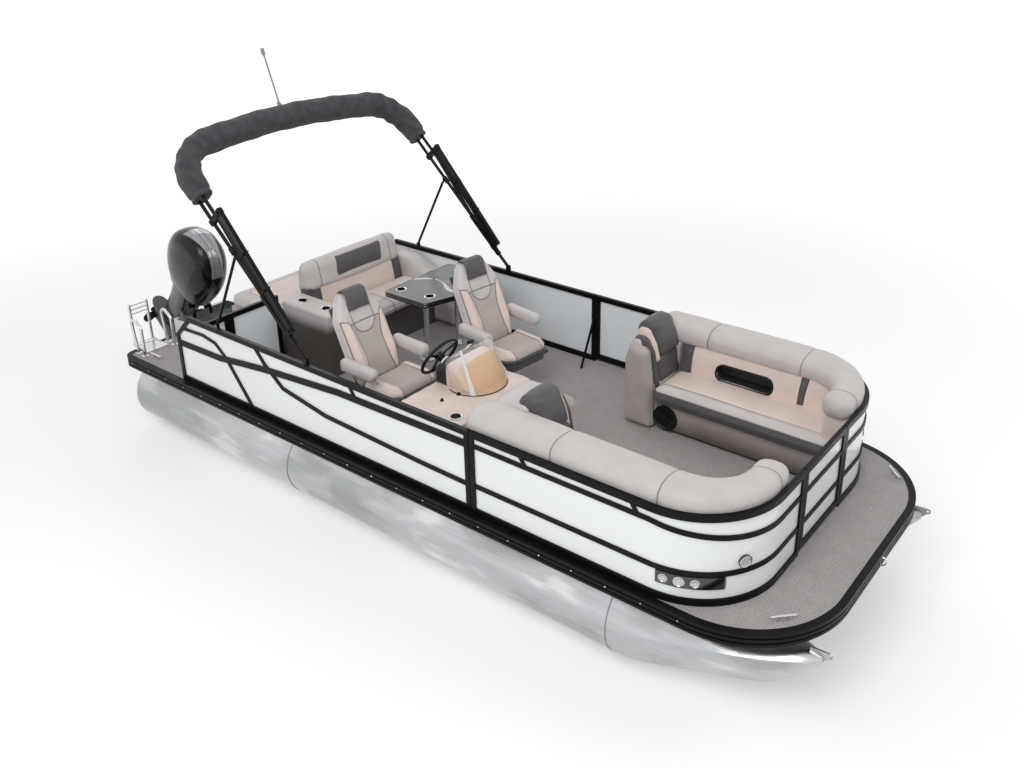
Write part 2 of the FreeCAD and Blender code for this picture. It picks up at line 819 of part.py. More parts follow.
def fences_and_gates():
    """All fence and gate nodes. A gate whose outer face would point inwards when turned is mirrored first."""
    front_width = front_gate_port_y - front_gate_starboard_y - 2 * gate_gap
    side_width = side_gate_width - 2 * gate_gap
    gates = {
        "front": (front_width, (lower_strip_z, upper_strip_front_z), fence_front_x, front_gate_hinge_y, -90.0, True),
        "side": (side_width, (lower_strip_z, upper_strip_z), side_gate_hinge_x, fence_outer_y, 180.0, False),
        "rear": (rear_gate_width, (), rear_fence_x, rear_gate_y, 90.0, True),
    }
    posts = {}
    for name, (width, strips, x, y, turn, flip) in gates.items():
        frame = gate_frame(width, strips)
        panel = gate_panel(width)
        hinges = group(gate_hinges(False))
        if flip:
            frame, panel, hinges = port_of(frame), port_of(panel), port_of(hinges)
        nodes[name + "_gate_frame"] = set_down(frame, x, y, turn)
        nodes[name + "_gate_panel"] = set_down(panel, x, y, turn)
        posts[name] = set_down(hinges, x, y, turn).Solids
    starboard_aft = joined([aft_fence(mid_post_x)] + top_supports())
    starboard_front = front_fence(mid_post_x + section_gap, front_gate_starboard_y)
    nodes["fence_frame_starboard"] = group([starboard_aft, starboard_front])
    brace_x = port_post_x - post_width / 2
    brace_top = V(brace_x, fence_inner_y + brace_radius, deck_z + brace_height)
    brace = rod(brace_top, V(brace_x, brace_foot_y, deck_z - brace_radius), brace_radius)
    above = block(brace_x - post_width, brace_x + post_width, 0, fence_outer_y, deck_z, fence_top_z)
    port_aft = port_of(joined([aft_fence(port_post_x)] + top_supports()))
    port_front = port_of(front_fence(port_post_x + side_gate_width, -front_gate_port_y))
    nodes["fence_frame_port"] = group(
        [joined([port_aft, brace.common(above)]), joined([port_front] + posts["side"] + posts["front"])]
    )
    x1 = rear_fence_x + fence_depth
    low_z = deck_z + bottom_rail
    high_z = fence_top_z - top_rail
    post_y = rear_gate_post_y - post_width
    rear = [
        block(rear_fence_x, x1, -fence_inner_y, rear_gate_post_y, high_z, fence_top_z),
        block(rear_fence_x, x1, -fence_inner_y, rear_gate_post_y, deck_z, low_z),
        block(rear_fence_x, x1, post_y, rear_gate_post_y, deck_z, fence_top_z),
    ]
    nodes["fence_frame_rear"] = joined(rear + posts["rear"])
    nodes["fence_panels"] = fence_panels()


def docking_lights():
    """A lamp on each front corner with a small round light above it, sitting on the panels."""
    low_z = deck_z + lamp_low
    high_z = deck_z + lamp_high
    window = block(lamp_x, lamp_x + lamp_length, -half_beam, 0, low_z, high_z)
    lamp = band(lounge_start_x, front_gate_starboard_y, 0, panel_inset, low_z, high_z).common(window)
    turn = math.radians(round_lamp_turn)
    outward = V(math.cos(turn), math.sin(turn), 0)
    centre_y = -fence_outer_y + fence_corner_radius
    centre = V(fence_front_x - fence_corner_radius, centre_y, deck_z + round_lamp_height)
    seat = centre + outward * (fence_corner_radius - panel_inset)
    round_lamp = Part.makeCylinder(round_lamp_radius, panel_inset, seat, outward)
    return group([lamp, round_lamp, port_of(lamp), port_of(round_lamp)])


def end_backrest(aft_x):
    """The starboard lounge's aft backrest: upright behind, sloping down to the seat in front."""
    seat_z = deck_z + lounge_height + cushion_thickness
    front_x = lounge_start_x - clearance
    profile = [
        (aft_x, deck_z),
        (aft_x, deck_z + end_back_height),
        (aft_x + end_back_top, deck_z + end_back_height),
        (front_x, seat_z),
        (front_x, deck_z),
    ]
    body = prism(profile, -fence_inner_y + clearance, -lounge_inner_y)
    top_z = deck_z + end_back_height - cushion_edge
    upper = [edge for edge in body.Edges if edge.BoundBox.ZMin > top_z]
    return body.makeFillet(cushion_edge, upper)


def lounge_bolster():
    """The starboard roll that follows the fence round the corner, with the pad that it stands on."""
    inset = fence_depth + clearance
    roll_z = deck_z + bolster_top - bolster_radius
    end_y = -lounge_inner_y - bolster_radius
    start, edges, end = fence_line(inset + bolster_radius, lounge_start_x, end_y, roll_z)
    section = Part.Wire(Part.Circle(start, AHEAD, bolster_radius).toShape())
    roll = Part.Wire(edges).makePipeShell([section], True, True)
    tip = Part.makeSphere(bolster_radius, end)
    pad_z = deck_z + lounge_height + cushion_thickness + clearance
    pad = band(lounge_start_x, end_y, inset, inset + bolster_radius * 1.7, pad_z, roll_z)
    return joined([roll, tip, pad])


def front_lounges():
    """Base, seat, bolster and aft backrest on each side of the front."""
    top_z = deck_z + lounge_height
    wall = fence_depth + clearance
    base = corner_pad(lounge_start_x, wall, lounge_inner_y + lounge_kick, deck_z, top_z)
    seat_top_z = top_z + cushion_thickness
    seat = corner_pad(lounge_start_x, wall + cushion_edge, lounge_inner_y, top_z + clearance, seat_top_z)
    rims = [edge for edge in seat.Edges if edge.BoundBox.ZMin > top_z + cushion_thickness / 2]
    seat = seat.makeFillet(cushion_edge, rims)
    bolster = lounge_bolster()
    for side, aft_x in (("starboard", starboard_back_x), ("port", port_back_x)):
        pieces = {"base": base, "seat": seat, "bolster": bolster, "backrest": end_backrest(aft_x)}
        for name, shape in pieces.items():
            nodes["lounge_" + name + "_" + side] = shape if side == "starboard" else port_of(shape)


def bench_backrest():
    """The bench's backrest: plumb behind, leaning back in front."""
    seat_z = deck_z + lounge_height
    top_z = deck_z + bench_back_height
    lean = bench_back_foot * 0.45
    back_x = bench_x + bench_back_foot
    profile = [
        (bench_x, seat_z + clearance),
        (bench_x, top_z - lean),
        (bench_x + lean * 0.25, top_z),
        (bench_x + lean, top_z),
        (back_x, seat_z + cushion_thickness),
        (back_x, seat_z + clearance),
    ]
    back = prism(profile, bench_starboard_y, bench_port_y)
    upper = [edge for edge in back.Edges if edge.BoundBox.ZMin > top_z - lean / 2]
    return back.makeFillet(cushion_edge, upper)


def rear_seats():
    """Bench across the cockpit, the lounge behind it, the side coaming and the drinks stand."""
    seat_z = deck_z + lounge_height
    back_x = bench_x + bench_back_foot
    nodes["bench_base"] = block(bench_x, bench_front_x, bench_starboard_y, bench_port_y, deck_z, seat_z)
    nodes["bench_seat"] = soft_block(
        back_x + clearance,
        bench_front_x + bench_overhang,
        bench_starboard_y,
        bench_port_y,
        seat_z + clearance,
        seat_z + cushion_thickness,
        cushion_edge,
    )
    nodes["bench_backrest"] = bench_backrest()
    aft_end = bench_x - section_gap
    nodes["aft_lounge_base"] = block(
        aft_lounge_x + cushion_edge, aft_end, aft_lounge_starboard_y, aft_lounge_port_y, deck_z, seat_z
    )
    nodes["aft_lounge_cushion"] = soft_block(
        aft_lounge_x,
        aft_end,
        aft_lounge_starboard_y,
        aft_lounge_port_y,
        seat_z + clearance,
        seat_z + aft_cushion_thickness,
        cushion_edge * 1.5,
    )
    coaming_shares = [(0.0, 0.0), (0.0, 0.93), (0.3, 0.93), (0.62, 0.74), (0.86, 0.5), (1.0, 0.3), (1.0, 0.0)]
    nodes["side_coaming"] = prism(
        [(bench_x + coaming_length * along, deck_z + fence_height * up) for along, up in coaming_shares],
        bench_port_y + coaming_gap,
        fence_inner_y - clearance,
    )
    nodes["drinks_stand"] = drinks_stand()


def cup(x, y, z):
    """The bore of one cup holder, open at z."""
    return Part.makeCylinder(cup_radius, cup_depth + overrun, V(x, y, z - cup_depth))


def drinks_stand():
    """The stand beside the rear gate: rounded top with two cup holders."""
    port_y = stand_starboard_y + stand_width
    top_z = deck_z + stand_height
    body = block(stand_x, stand_x + stand_length, stand_starboard_y, port_y, deck_z, top_z)
    edges = [edge for edge in body.Edges if edge.BoundBox.ZMax > deck_z + cup_depth]
    body = body.makeFillet(cushion_edge, edges)
    middle_y = stand_starboard_y + stand_width / 2
    first_x = stand_x + (stand_length - cup_pitch) / 2
    for x in (first_x, first_x + cup_pitch):
        body = body.cut(cup(x, middle_y, top_z))
    return body


def table():
    """Table top with clipped corner and two cup holders, on two chrome legs."""
    top_z = deck_z + table_height
    under_z = top_z - table_thickness
    clip_share = 0.41
    nose_share = 0.83
    end_x = table_aft_x + table_length
    end_y = table_starboard_y + table_width
    top = plate(
        [
            (table_aft_x, table_starboard_y),
            (table_aft_x + table_length * nose_share, table_starboard_y),
            (end_x, table_starboard_y + table_width * clip_share),
            (end_x, end_y),
            (table_aft_x, end_y),
        ],
        under_z,
        top_z,
    )
    upright = [edge for edge in top.Edges if edge.BoundBox.ZLength > table_thickness / 2]
    top = top.makeFillet(cup_radius, upright)
    cup_shares = ((0.16, 0.13), (0.7, 0.17))
    for along, across in cup_shares:
        x = table_aft_x + table_length * along
        y = table_starboard_y + table_width * across
        insert_z = top_z - cup_depth - cup_wall
        insert = Part.makeCylinder(cup_radius + cup_wall, cup_depth, V(x, y, insert_z))
        top = joined([top, insert]).cut(cup(x, y, top_z))
    nodes["table_top"] = top
    legs = []
    for y in (table_leg_y, table_leg_y + table_leg_spread):
        column = rod(V(table_leg_x, y, deck_z), V(table_leg_x, y, under_z), table_leg_radius)
        foot = Part.makeCylinder(table_foot_radius, pedestal_foot_height, V(table_leg_x, y, deck_z))
        legs.append(joined([column, foot]))
    nodes["table_legs"] = group(legs)


def helm():
    """Console with its raised dash and steering column, the windscreen and the wheel."""
    side_y = -fence_inner_y + clearance
    end_x = console_x + console_length
    top_z = deck_z + console_height
    outline = [(console_x + console_rake, deck_z), (console_x, top_z), (end_x, top_z), (end_x, deck_z)]
    body = prism(outline, side_y, console_inner_y)
    corner = [edge for edge in body.Edges if edge.BoundBox.YMin > console_inner_y - clearance]
    corner = [edge for edge in corner if edge.BoundBox.ZMax > top_z - clearance]
    body = body.makeFillet(cushion_edge, corner)
    dash_shares = [(0.0, -0.1), (0.1, 0.7), (0.24, 1.0), (0.4, 1.0), (1.0, -0.1)]
    rise = dash_height - console_height
    dash_outline = [(console_x + dash_length * along, top_z + rise * up) for along, up in dash_shares]
    dash = prism(dash_outline, dash_starboard_y, console_inner_y - cushion_edge)
    lean = math.radians(wheel_lean)
    way = V(math.cos(lean), 0, -math.sin(lean))
    hub = V(wheel_x, wheel_y, deck_z + wheel_height)
    column = rod(hub + way * (wheel_hub_radius / 2 + clearance), hub + way * wheel_radius, column_radius)
    body = joined([body, dash, column])
    cup_x = end_x - cup_radius * 3
    body = body.cut(cup(cup_x, side_y + cup_radius * 3, top_z))
    nodes["helm_console"] = body
    wheel = steering_wheel()
    wheel.rotate(ORIGIN, ACROSS, wheel_lean - 90.0)
    wheel.translate(hub)
    nodes["steering_wheel"] = wheel
    nodes["windscreen"] = windscreen(top_z).cut(body)


def steering_wheel():
    """Rim, hub and three spokes, flat on the XY plane."""
    rim = Part.makeTorus(wheel_radius, wheel_rim, ORIGIN, UP)
    centre = Part.makeCylinder(wheel_hub_radius, wheel_hub_radius, V(0, 0, -wheel_hub_radius / 2))
    half = spoke_width / 2
    thin = spoke_thickness / 2
    pieces = [rim, centre]
    for turn in (60.0, 180.0, 300.0):
        spoke = block(0, wheel_radius, -half, half, -thin, thin)
        spoke.rotate(ORIGIN, UP, turn)
        pieces.append(spoke)
    return joined(pieces)


def windscreen(base_z):
    """A low curved screen that leans back round the dash."""

    def cone(shrink):
        """The screen's solid cone, set in by shrink."""
        low = screen_radius - shrink
        return Part.makeCone(low, low - screen_lean, screen_height, V(screen_x, screen_y, base_z))

    limit = block(
        screen_x - screen_radius * 0.25,
        screen_x + screen_radius,
        screen_y - screen_radius,
        screen_y + screen_radius,
        base_z,
        base_z + screen_height,
    )
    return cone(0).cut(cone(screen_thickness)).common(limit)


def swivel_seat():
    """A seat on its post, facing +X about its own swivel axis: fixed pedestal, turning shell and cushions."""
    half = seat_width / 2
    plate_z = seat_base_height - swivel_plate
    pedestal = joined(
        [
            Part.makeCylinder(pedestal_foot_radius, pedestal_foot_height, ORIGIN),
            Part.makeCone(pedestal_radius * 2, pedestal_radius, pedestal_radius * 2, ORIGIN),
            Part.makeCylinder(pedestal_radius, plate_z - clearance, ORIGIN),
        ]
    )
    back_x = -seat_back_reach
    back_low = seat_base_height + shell_thickness
    thick = seat_back_thickness
    lean = (seat_back_height - back_low) * seat_slope
    back_half = seat_back_width / 2
    drop_z = seat_back_height - headrest_drop
    spine_x = back_x - thick - clearance
    spine_lean = (drop_z - back_low) * seat_slope
    spine_back = spine_x - shell_thickness
    spine = prism(
        [
            (spine_x, back_low),
            (spine_x - spine_lean, drop_z),
            (spine_back - spine_lean, drop_z),
            (spine_back, back_low),
            (spine_back, seat_base_height),
            (spine_x, seat_base_height),
        ],
        -back_half + cushion_edge,
        back_half - cushion_edge,
    )
    pan = block(spine_x, seat_reach - shell_thickness, -half, half, seat_base_height, back_low)
    turntable = Part.makeCylinder(pedestal_radius * 2, swivel_plate, V(0, 0, plate_z))
    shell = joined([pan, turntable, spine])
    seat = soft_block(back_x + clearance, seat_reach, -half, half, back_low + clearance, seat_height, cushion_edge)
    back = prism(
        [
            (back_x, back_low + clearance),
            (back_x - lean, seat_back_height),
            (back_x - lean - thick, seat_back_height),
            (back_x - thick, back_low + clearance),
        ],
        -back_half,
        back_half,
    )
    back = back.makeFillet(cushion_edge, back.Edges)
    high = seat_back_height + headrest_thickness
    front = back_x - (drop_z - back_low) * seat_slope + clearance
    front_top = back_x - (high - back_low) * seat_slope + clearance
    rest = prism(
        [
            (front, drop_z),
            (front + headrest_thickness, drop_z),
            (front_top + headrest_thickness, high),
            (front_top - thick * 0.7, high),
            (front_top - thick * 0.7, seat_back_height + clearance),
            (back_x - lean + clearance, seat_back_height + clearance),
        ],
        -headrest_width / 2,
        headrest_width / 2,
    )
    arm_z = arm_height - arm_thickness
    arm_back = back_x - (arm_height - back_low) * seat_slope - thick * 0.4
    inner = back_half + clearance
    outer = inner + arm_width
    arms = []
    for y0, y1 in ((inner, outer), (-outer, -inner)):
        arms.append(soft_block(arm_back, arm_reach, y0, y1, arm_z, arm_height, cushion_edge))
    return pedestal, shell, group([seat, back, rest] + arms)


def swivel_seats():
    """The helm seat and the companion seat."""
    pedestal, shell, cushions = swivel_seat()
    places = {
        "helm": (helm_seat_x, helm_seat_y, 0.0),
        "companion": (companion_seat_x, companion_seat_y, companion_turn),
    }
    posts = []
    for name, (x, y, turn) in places.items():
        posts.append(set_down(pedestal, x, y, turn))
        nodes[name + "_seat_shell"] = set_down(shell, x, y, turn)
        nodes[name + "_seat_cushions"] = set_down(cushions, x, y, turn)
    nodes["seat_pedestals"] = group(posts)


def lean_back(shape):
    """Takes what was built upright over the folded top's pivots to the angle at which it is parked."""
    copy = shape.copy()
    copy.rotate(ORIGIN, ACROSS, -top_lean)
    copy.translate(V(top_pivot_x, 0, top_pivot_z))
    return copy


def bow_path(x, foot):
    """A bow's corner points, upright over the pivots, at one distance forward of the main bow."""
    return [V(x, -rail_y, foot), V(x, -rail_y, bow_leg), V(x, 0, bow_top), V(x, rail_y, bow_leg), V(x, rail_y, foot)]


def folded_top():
    """Two bows side by side with their sleeves, the boot over the wrapped canvas, the struts and the light."""
    bends = [bow_corner_radius, bow_crown_radius, bow_corner_radius]
    pieces = [
        bent_rod(bow_path(0, 0), bends, bow_radius),
        bent_rod(bow_path(second_bow_offset, second_bow_knee), bends, bow_radius),
    ]
    half_eye = eye_width / 2
    half_sleeve = sleeve_width / 2
    eye_radius = ear_radius - pin_radius
    collar_radius = bow_radius * 1.5
    collar_half = ear_radius * 1.5
    waste = []
    for side in (-1, 1):
        y = side * rail_y
        knee = V(second_bow_offset, y, second_bow_knee + bow_radius)
        pin_end = V(0, side * (strut_y - half_eye), strut_reach)
        pieces.append(rod(V(0, y, second_bow_start), knee, bow_radius))
        pieces.append(
            block(-half_sleeve, half_sleeve, y - half_sleeve, y + half_sleeve, sleeve_start, sleeve_end)
        )
        pieces.append(Part.makeCylinder(eye_radius, eye_width, V(0, y - half_eye, 0), ACROSS))
        pieces.append(Part.makeCylinder(collar_radius, collar_half * 2, V(0, y, strut_reach - collar_half)))
        pieces.append(rod(V(0, y, strut_reach), pin_end, pin_radius))
        waste.append(Part.makeCylinder(pin_radius + pin_clearance, 2 * overrun, V(0, y - overrun, 0), ACROSS))
        for y0, y1 in ((y - sleeve_width, y - half_eye), (y + half_eye, y + sleeve_width)):
            waste.append(block(-sleeve_width, sleeve_width, y0, y1, -sleeve_width, ear_radius * 1.4))
    nodes["top_frame"] = lean_back(joined(pieces).cut(waste))
    nodes["top_boot"] = lean_back(boot())
    nodes["stern_light"] = stern_light()
    starboard = strut()
    nodes["top_strut_starboard"] = starboard
    nodes["top_strut_port"] = port_of(starboard)


def boot_sweep(shrink, start):
    """A rounded tube along the wrapped part of the bows, its wall set in by shrink, from a height on each leg."""
    middle = second_bow_offset / 2
    half_depth = boot_depth / 2 - shrink
    half_width = boot_width / 2 - shrink
    box = block(
        middle - half_depth, middle + half_depth, -rail_y - half_width, -rail_y + half_width, start, start + overrun
    )
    upright = [edge for edge in box.Edges if edge.BoundBox.ZLength > overrun / 2]
    box = box.makeFillet(boot_corner - shrink, upright)
    section = min(box.Faces, key=lambda face: face.CenterOfMass.z).OuterWire
    path = bent_path(bow_path(middle, start), [bow_corner_radius, bow_crown_radius, bow_corner_radius])
    return path.makePipeShell([section], True, True)


def boot():
    """The boot: a closed sleeve over the bows, with a hole for each leg in its end walls."""
    shell = boot_sweep(0, boot_start).cut(boot_sweep(boot_wall, boot_start + boot_wall))
    holes = []
    for y in (-rail_y, rail_y):
        for x in (0, second_bow_offset):
            holes.append(Part.makeCylinder(bow_radius + clearance, 2 * overrun, V(x, y, boot_start - overrun)))
    return shell.cut(holes)


def stern_light():
    """The all-round light on its pole, standing on the boot's crown."""
    lean = math.radians(top_lean)
    along = V(-math.sin(lean), 0, math.cos(lean))
    forward = V(math.cos(lean), 0, math.sin(lean))
    crown_turn = math.atan((bow_top - bow_leg) / rail_y)
    crown_drop = bow_crown_radius * (1 / math.cos(crown_turn) - 1)
    height = bow_top - crown_drop + boot_width / 2 + clearance
    base = V(top_pivot_x, 0, top_pivot_z) + along * height + forward * (second_bow_offset / 2)
    pole_lean = math.radians(light_pole_lean)
    way = V(-math.sin(pole_lean), 0, math.cos(pole_lean))
    start = base + along * (light_base_height * 0.6)
    top = start + way * light_pole_height
    return joined(
        [
            rod(base, base + along * light_base_height, light_base_radius),
            rod(start, top, light_pole_radius),
            rod(top, top + way * light_base_height, light_base_radius),
        ]
    )


def strut():
    """The starboard strut: an eye at its foot on the rail, and an open hook at the leg's bracket."""
    lean = math.radians(top_lean)
    foot = V(strut_foot_x, -strut_y, top_pivot_z)
    rise = strut_reach * math.cos(lean)
    head = V(top_pivot_x - strut_reach * math.sin(lean), -strut_y, top_pivot_z + rise)
    half = eye_width / 2
    eye_radius = ear_radius - pin_radius
    reach = ear_radius * 1.4
    pieces = [rod(foot, head, strut_radius)]
    waste = []
    for end in (foot, head):
        pieces.append(Part.makeCylinder(eye_radius, eye_width, end - ACROSS * half, ACROSS))
        for y0, y1 in ((end.y - sleeve_width, end.y - half), (end.y + half, end.y + sleeve_width)):
            waste.append(block(end.x - reach, end.x + reach, y0, y1, end.z - reach, end.z + reach))
    gap = pin_radius + pin_clearance
    waste.append(Part.makeCylinder(gap, 2 * overrun, foot - ACROSS * overrun, ACROSS))
    slot = block(-reach, gap, -overrun, overrun, -gap * 1.6, gap * 1.6)
    slot.translate(head)
    waste.append(slot)
    return joined(pieces).cut(waste)


def handrail(y):
    """One hoop of the ladder's handrails with a flange under each foot."""
    top_z = deck_z + hoop_height
    sag = hoop_height * 0.3
    hoop = bent_rod(
        [
            V(hoop_aft_x, y, deck_z),
            V(hoop_aft_x - hoop_bend, y, top_z),
            V(hoop_front_x, y, top_z - sag),
            V(hoop_front_x, y, deck_z),
        ],
        [hoop_bend, hoop_bend],
        hoop_radius,
    )
    above = block(-half_beam, half_beam, y - flange_radius, y + flange_radius, deck_z, fence_top_z)
    feet = [Part.makeCylinder(flange_radius, flange_thickness, V(x, y, deck_z)) for x in (hoop_aft_x, hoop_front_x)]
    return joined([hoop.common(above)] + feet)


def ladder():
    """Two handrail hoops on the starboard rear corner, the hinge plate between them and the raised ladder."""
    lip_z = deck_z + rub_lip_height
    plate_z = lip_z + ladder_plate_thickness
    aft_y = ladder_starboard_y + ladder_inset
    port_y = ladder_port_y - ladder_inset
    front_x = hoop_front_x - flange_radius
    base_x = ladder_hinge_x + ladder_rail_radius * 1.6
    pad_x = rub_rail_width + rub_lip_reach + flange_thickness
    hinge = V(ladder_hinge_x, 0, ladder_hinge_z)
    fixed = [
        block(base_x, front_x, aft_y, port_y, lip_z, plate_z),
        block(pad_x, front_x, aft_y, port_y, deck_z, lip_z),
        rod(hinge + ACROSS * aft_y, hinge + ACROSS * port_y, pin_radius),
    ]
    thick = ladder_plate_thickness
    end_x = ladder_hinge_x + ladder_plate_length
    for y in (aft_y, port_y - thick):
        fixed.append(block(ladder_hinge_x, end_x, y, y + thick, lip_z, ladder_hinge_z))
        fixed.append(Part.makeCylinder(ladder_rail_radius, thick, hinge + ACROSS * y, ACROSS))
    nodes["ladder_handrails"] = group([handrail(ladder_starboard_y), handrail(ladder_port_y), joined(fixed)])
    margin = thick + ladder_rail_radius + clearance
    rail_places = (aft_y + margin, port_y - margin)
    moving = []
    for y in rail_places:
        foot = hinge + ACROSS * y
        moving.append(rod(foot, foot + UP * ladder_length, ladder_rail_radius))
        barrel_start = foot - ACROSS * ladder_rail_radius
        moving.append(Part.makeCylinder(ladder_rail_radius, 2 * ladder_rail_radius, barrel_start, ACROSS))
    for i in range(rung_count):
        level = hinge + UP * (ladder_length - rung_radius - i * rung_pitch)
        moving.append(rod(level + ACROSS * rail_places[0], level + ACROSS * rail_places[1], rung_radius))
    bore = rod(hinge + ACROSS * (aft_y - overrun), hinge + ACROSS * (port_y + overrun), pin_radius + pin_clearance)
    nodes["ladder_steps"] = joined(moving).cut(bore)


def ring(x0, x1, half_width, z):
    """A smooth closed outline at one height, squarer than an ellipse."""
    middle = (x0 + x1) / 2
    reach = (x1 - x0) / 2
    square_share = 0.8
    count = 16
    points = []
    for i in range(count):
        angle = 2 * math.pi * i / count
        cosine = math.copysign(abs(math.cos(angle)) ** square_share, math.cos(angle))
        sine = math.copysign(abs(math.sin(angle)) ** square_share, math.sin(angle))
        points.append(V(middle + reach * cosine, half_width * sine, z))
    curve = Part.BSplineCurve()
    curve.interpolate(Points=points, PeriodicFlag=True)
    return Part.Wire(curve.toShape())


def tilted(shape):
    """Takes a piece of the motor from its own frame to the transom, tilted up as it is parked."""
    copy = shape.copy()
    copy.rotate(ORIGIN, ACROSS, motor_tilt)
    copy.translate(V(motor_pivot_x, 0, motor_pivot_z))
    return copy


def cowl_form(wall, low_z):
    """The cowl's rounded form, set in by a wall, from a given lowest height."""
    # Each row: height, aft end, front end and width of one section.
    section_shares = [
        (0.0, 0.2, 0.95, 0.78),
        (0.12, 0.11, 0.975, 0.88),
        (0.32, 0.025, 1.0, 0.98),
        (0.6, 0.0, 0.965, 1.0),
        (0.8, 0.09, 0.87, 0.9),
        (0.94, 0.24, 0.74, 0.66),
        (1.0, 0.36, 0.62, 0.3),
    ]
    base_z = pan_z + pan_thickness
    height = cowl_height - wall
    wires = []
    for up, aft, front, wide in section_shares:
        z = base_z + height * up if up else low_z
        x0 = -cowl_aft + cowl_length * aft + wall
        x1 = -cowl_aft + cowl_length * front - wall
        wires.append(ring(x0, x1, cowl_width / 2 * wide - wall, z))
    return Part.makeLoft(wires, True, False)


def outboard():
    """The motor: clamp on the transom, swivel bracket, leg with gearcase, cowl over its engine, propeller."""
    nodes["engine_clamp_bracket"] = clamp_bracket()
    nodes["engine_swivel_bracket"] = tilted(swivel_bracket())
    nodes["engine_leg"] = tilted(motor_leg())
    base_z = pan_z + pan_thickness
    nodes["engine_cowl"] = tilted(cowl_form(0, base_z).cut(cowl_form(cowl_wall, base_z - overrun)))
    x0 = -cowl_aft + cowl_length * 0.55 - block_length / 2
    half = block_width / 2
    nodes["engine_block"] = tilted(block(x0, x0 + block_length, -half, half, base_z, base_z + block_height))
    nodes["propeller"] = tilted(propeller())


def clamp_bracket():
    """Two side plates that hook over the transom, with the tilt tube between them."""
    transom_face = transom_aft_x - motor_pivot_x
    top = transom_top_z - motor_pivot_z
    front = transom_face + transom_thickness
    outline = [
        (-clamp_reach * 0.6, clamp_rise),
        (clamp_reach * 0.5, clamp_rise),
        (front + clamp_thickness, top + clamp_thickness),
        (front + clamp_thickness, top - clamp_reach),
        (front, top - clamp_reach),
        (front, top),
        (transom_face, top),
        (transom_face, -clamp_drop),
        (-clamp_reach * 0.4, -clamp_drop),
        (-clamp_reach * 0.9, -clamp_reach),
    ]
    outline = [(motor_pivot_x + x, motor_pivot_z + z) for x, z in outline]
    half = clamp_spacing / 2
    pieces = [prism(outline, y0, y0 + clamp_thickness) for y0 in (-half, half - clamp_thickness)]
    pivot = V(motor_pivot_x, 0, motor_pivot_z)
    reach = half + overrun
    pieces.append(rod(pivot - ACROSS * reach, pivot + ACROSS * reach, tilt_tube_radius))
    return joined(pieces)


def swivel_bracket():
    """The barrel on the tilt tube, the steering tube behind it and the web that joins them."""
    half = swivel_width / 2
    web_half = kingpin_tube_radius * 2
    steer = V(-steer_offset, 0, -swivel_drop)
    height = swivel_top + swivel_drop
    pieces = [
        Part.makeCylinder(tilt_barrel_radius, swivel_width, V(0, -half, 0), ACROSS),
        Part.makeCylinder(kingpin_tube_radius, height, steer),
        block(-steer_offset, -kingpin_radius, -web_half, web_half, -swivel_arm_depth, kingpin_radius),
        block(-steer_offset, 0, -web_half, web_half, -kingpin_radius, kingpin_radius * 2),
    ]
    tilt_bore = tilt_tube_radius + pin_clearance
    steer_bore = kingpin_radius + pin_clearance
    bores = [
        Part.makeCylinder(tilt_bore, swivel_width + 2 * overrun, V(0, -half - overrun, 0), ACROSS),
        Part.makeCylinder(steer_bore, height + 2 * overrun, steer - UP * overrun),
    ]
    return joined(pieces).cut(bores)


def motor_leg():
    """Pan under the cowl, exhaust leg, plate over the propeller, gearcase with skeg, and kingpin with its yoke."""
    back_x = -steer_offset - kingpin_tube_radius - clamp_thickness
    # Each row: depth below the tilt tube, front and rear of the section, and its width.
    section_shares = [
        (-0.165, 0.0, 1.05, 1.0),
        (0.1, 0.0, 1.0, 0.8),
        (0.5, -0.02, 0.95, 0.5),
        (1.0, -0.12, 1.0, 0.36),
    ]
    wires = []
    for down, front, rear, wide in section_shares:
        x0 = back_x - leg_chord * rear
        x1 = back_x - leg_chord * front
        wires.append(ring(x0, x1, leg_width / 2 * wide, -leg_length * down))
    pan_x0 = -cowl_aft + cowl_length * 0.2
    pan_x1 = -cowl_aft + cowl_length * 0.95
    pan_outline = ring(pan_x0, pan_x1, cowl_width / 2 * 0.78, pan_z)
    plate_x = gearcase_nose_x - plate_thickness * 6
    plate_outline = ring(plate_x - plate_length, plate_x, plate_width / 2, -leg_length - plate_thickness)
    neck = Part.makeLoft(
        [
            ring(back_x - leg_chord, back_x + leg_chord * 0.12, leg_width * 0.18, -leg_length),
            ring(back_x - leg_chord * 0.9, back_x + leg_chord * 0.2, leg_width * 0.14, -gearcase_drop),
        ],
        True,
        False,
    )
    yoke_z = -swivel_drop - clearance
    yoke = block(
        back_x - clamp_thickness,
        -steer_offset + kingpin_tube_radius,
        -kingpin_tube_radius,
        kingpin_tube_radius,
        yoke_z - clamp_thickness * 2,
        yoke_z,
    )
    kingpin = Part.makeCylinder(kingpin_radius, pan_z - yoke_z + pan_thickness / 2, V(-steer_offset, 0, yoke_z))
    pieces = [
        Part.makeLoft(wires, True, False),
        Part.Face(pan_outline).extrude(V(0, 0, pan_thickness)),
        Part.Face(plate_outline).extrude(V(0, 0, plate_thickness)),
        neck,
        gearcase(),
        skeg(),
        yoke,
        kingpin,
    ]
    return joined(pieces)


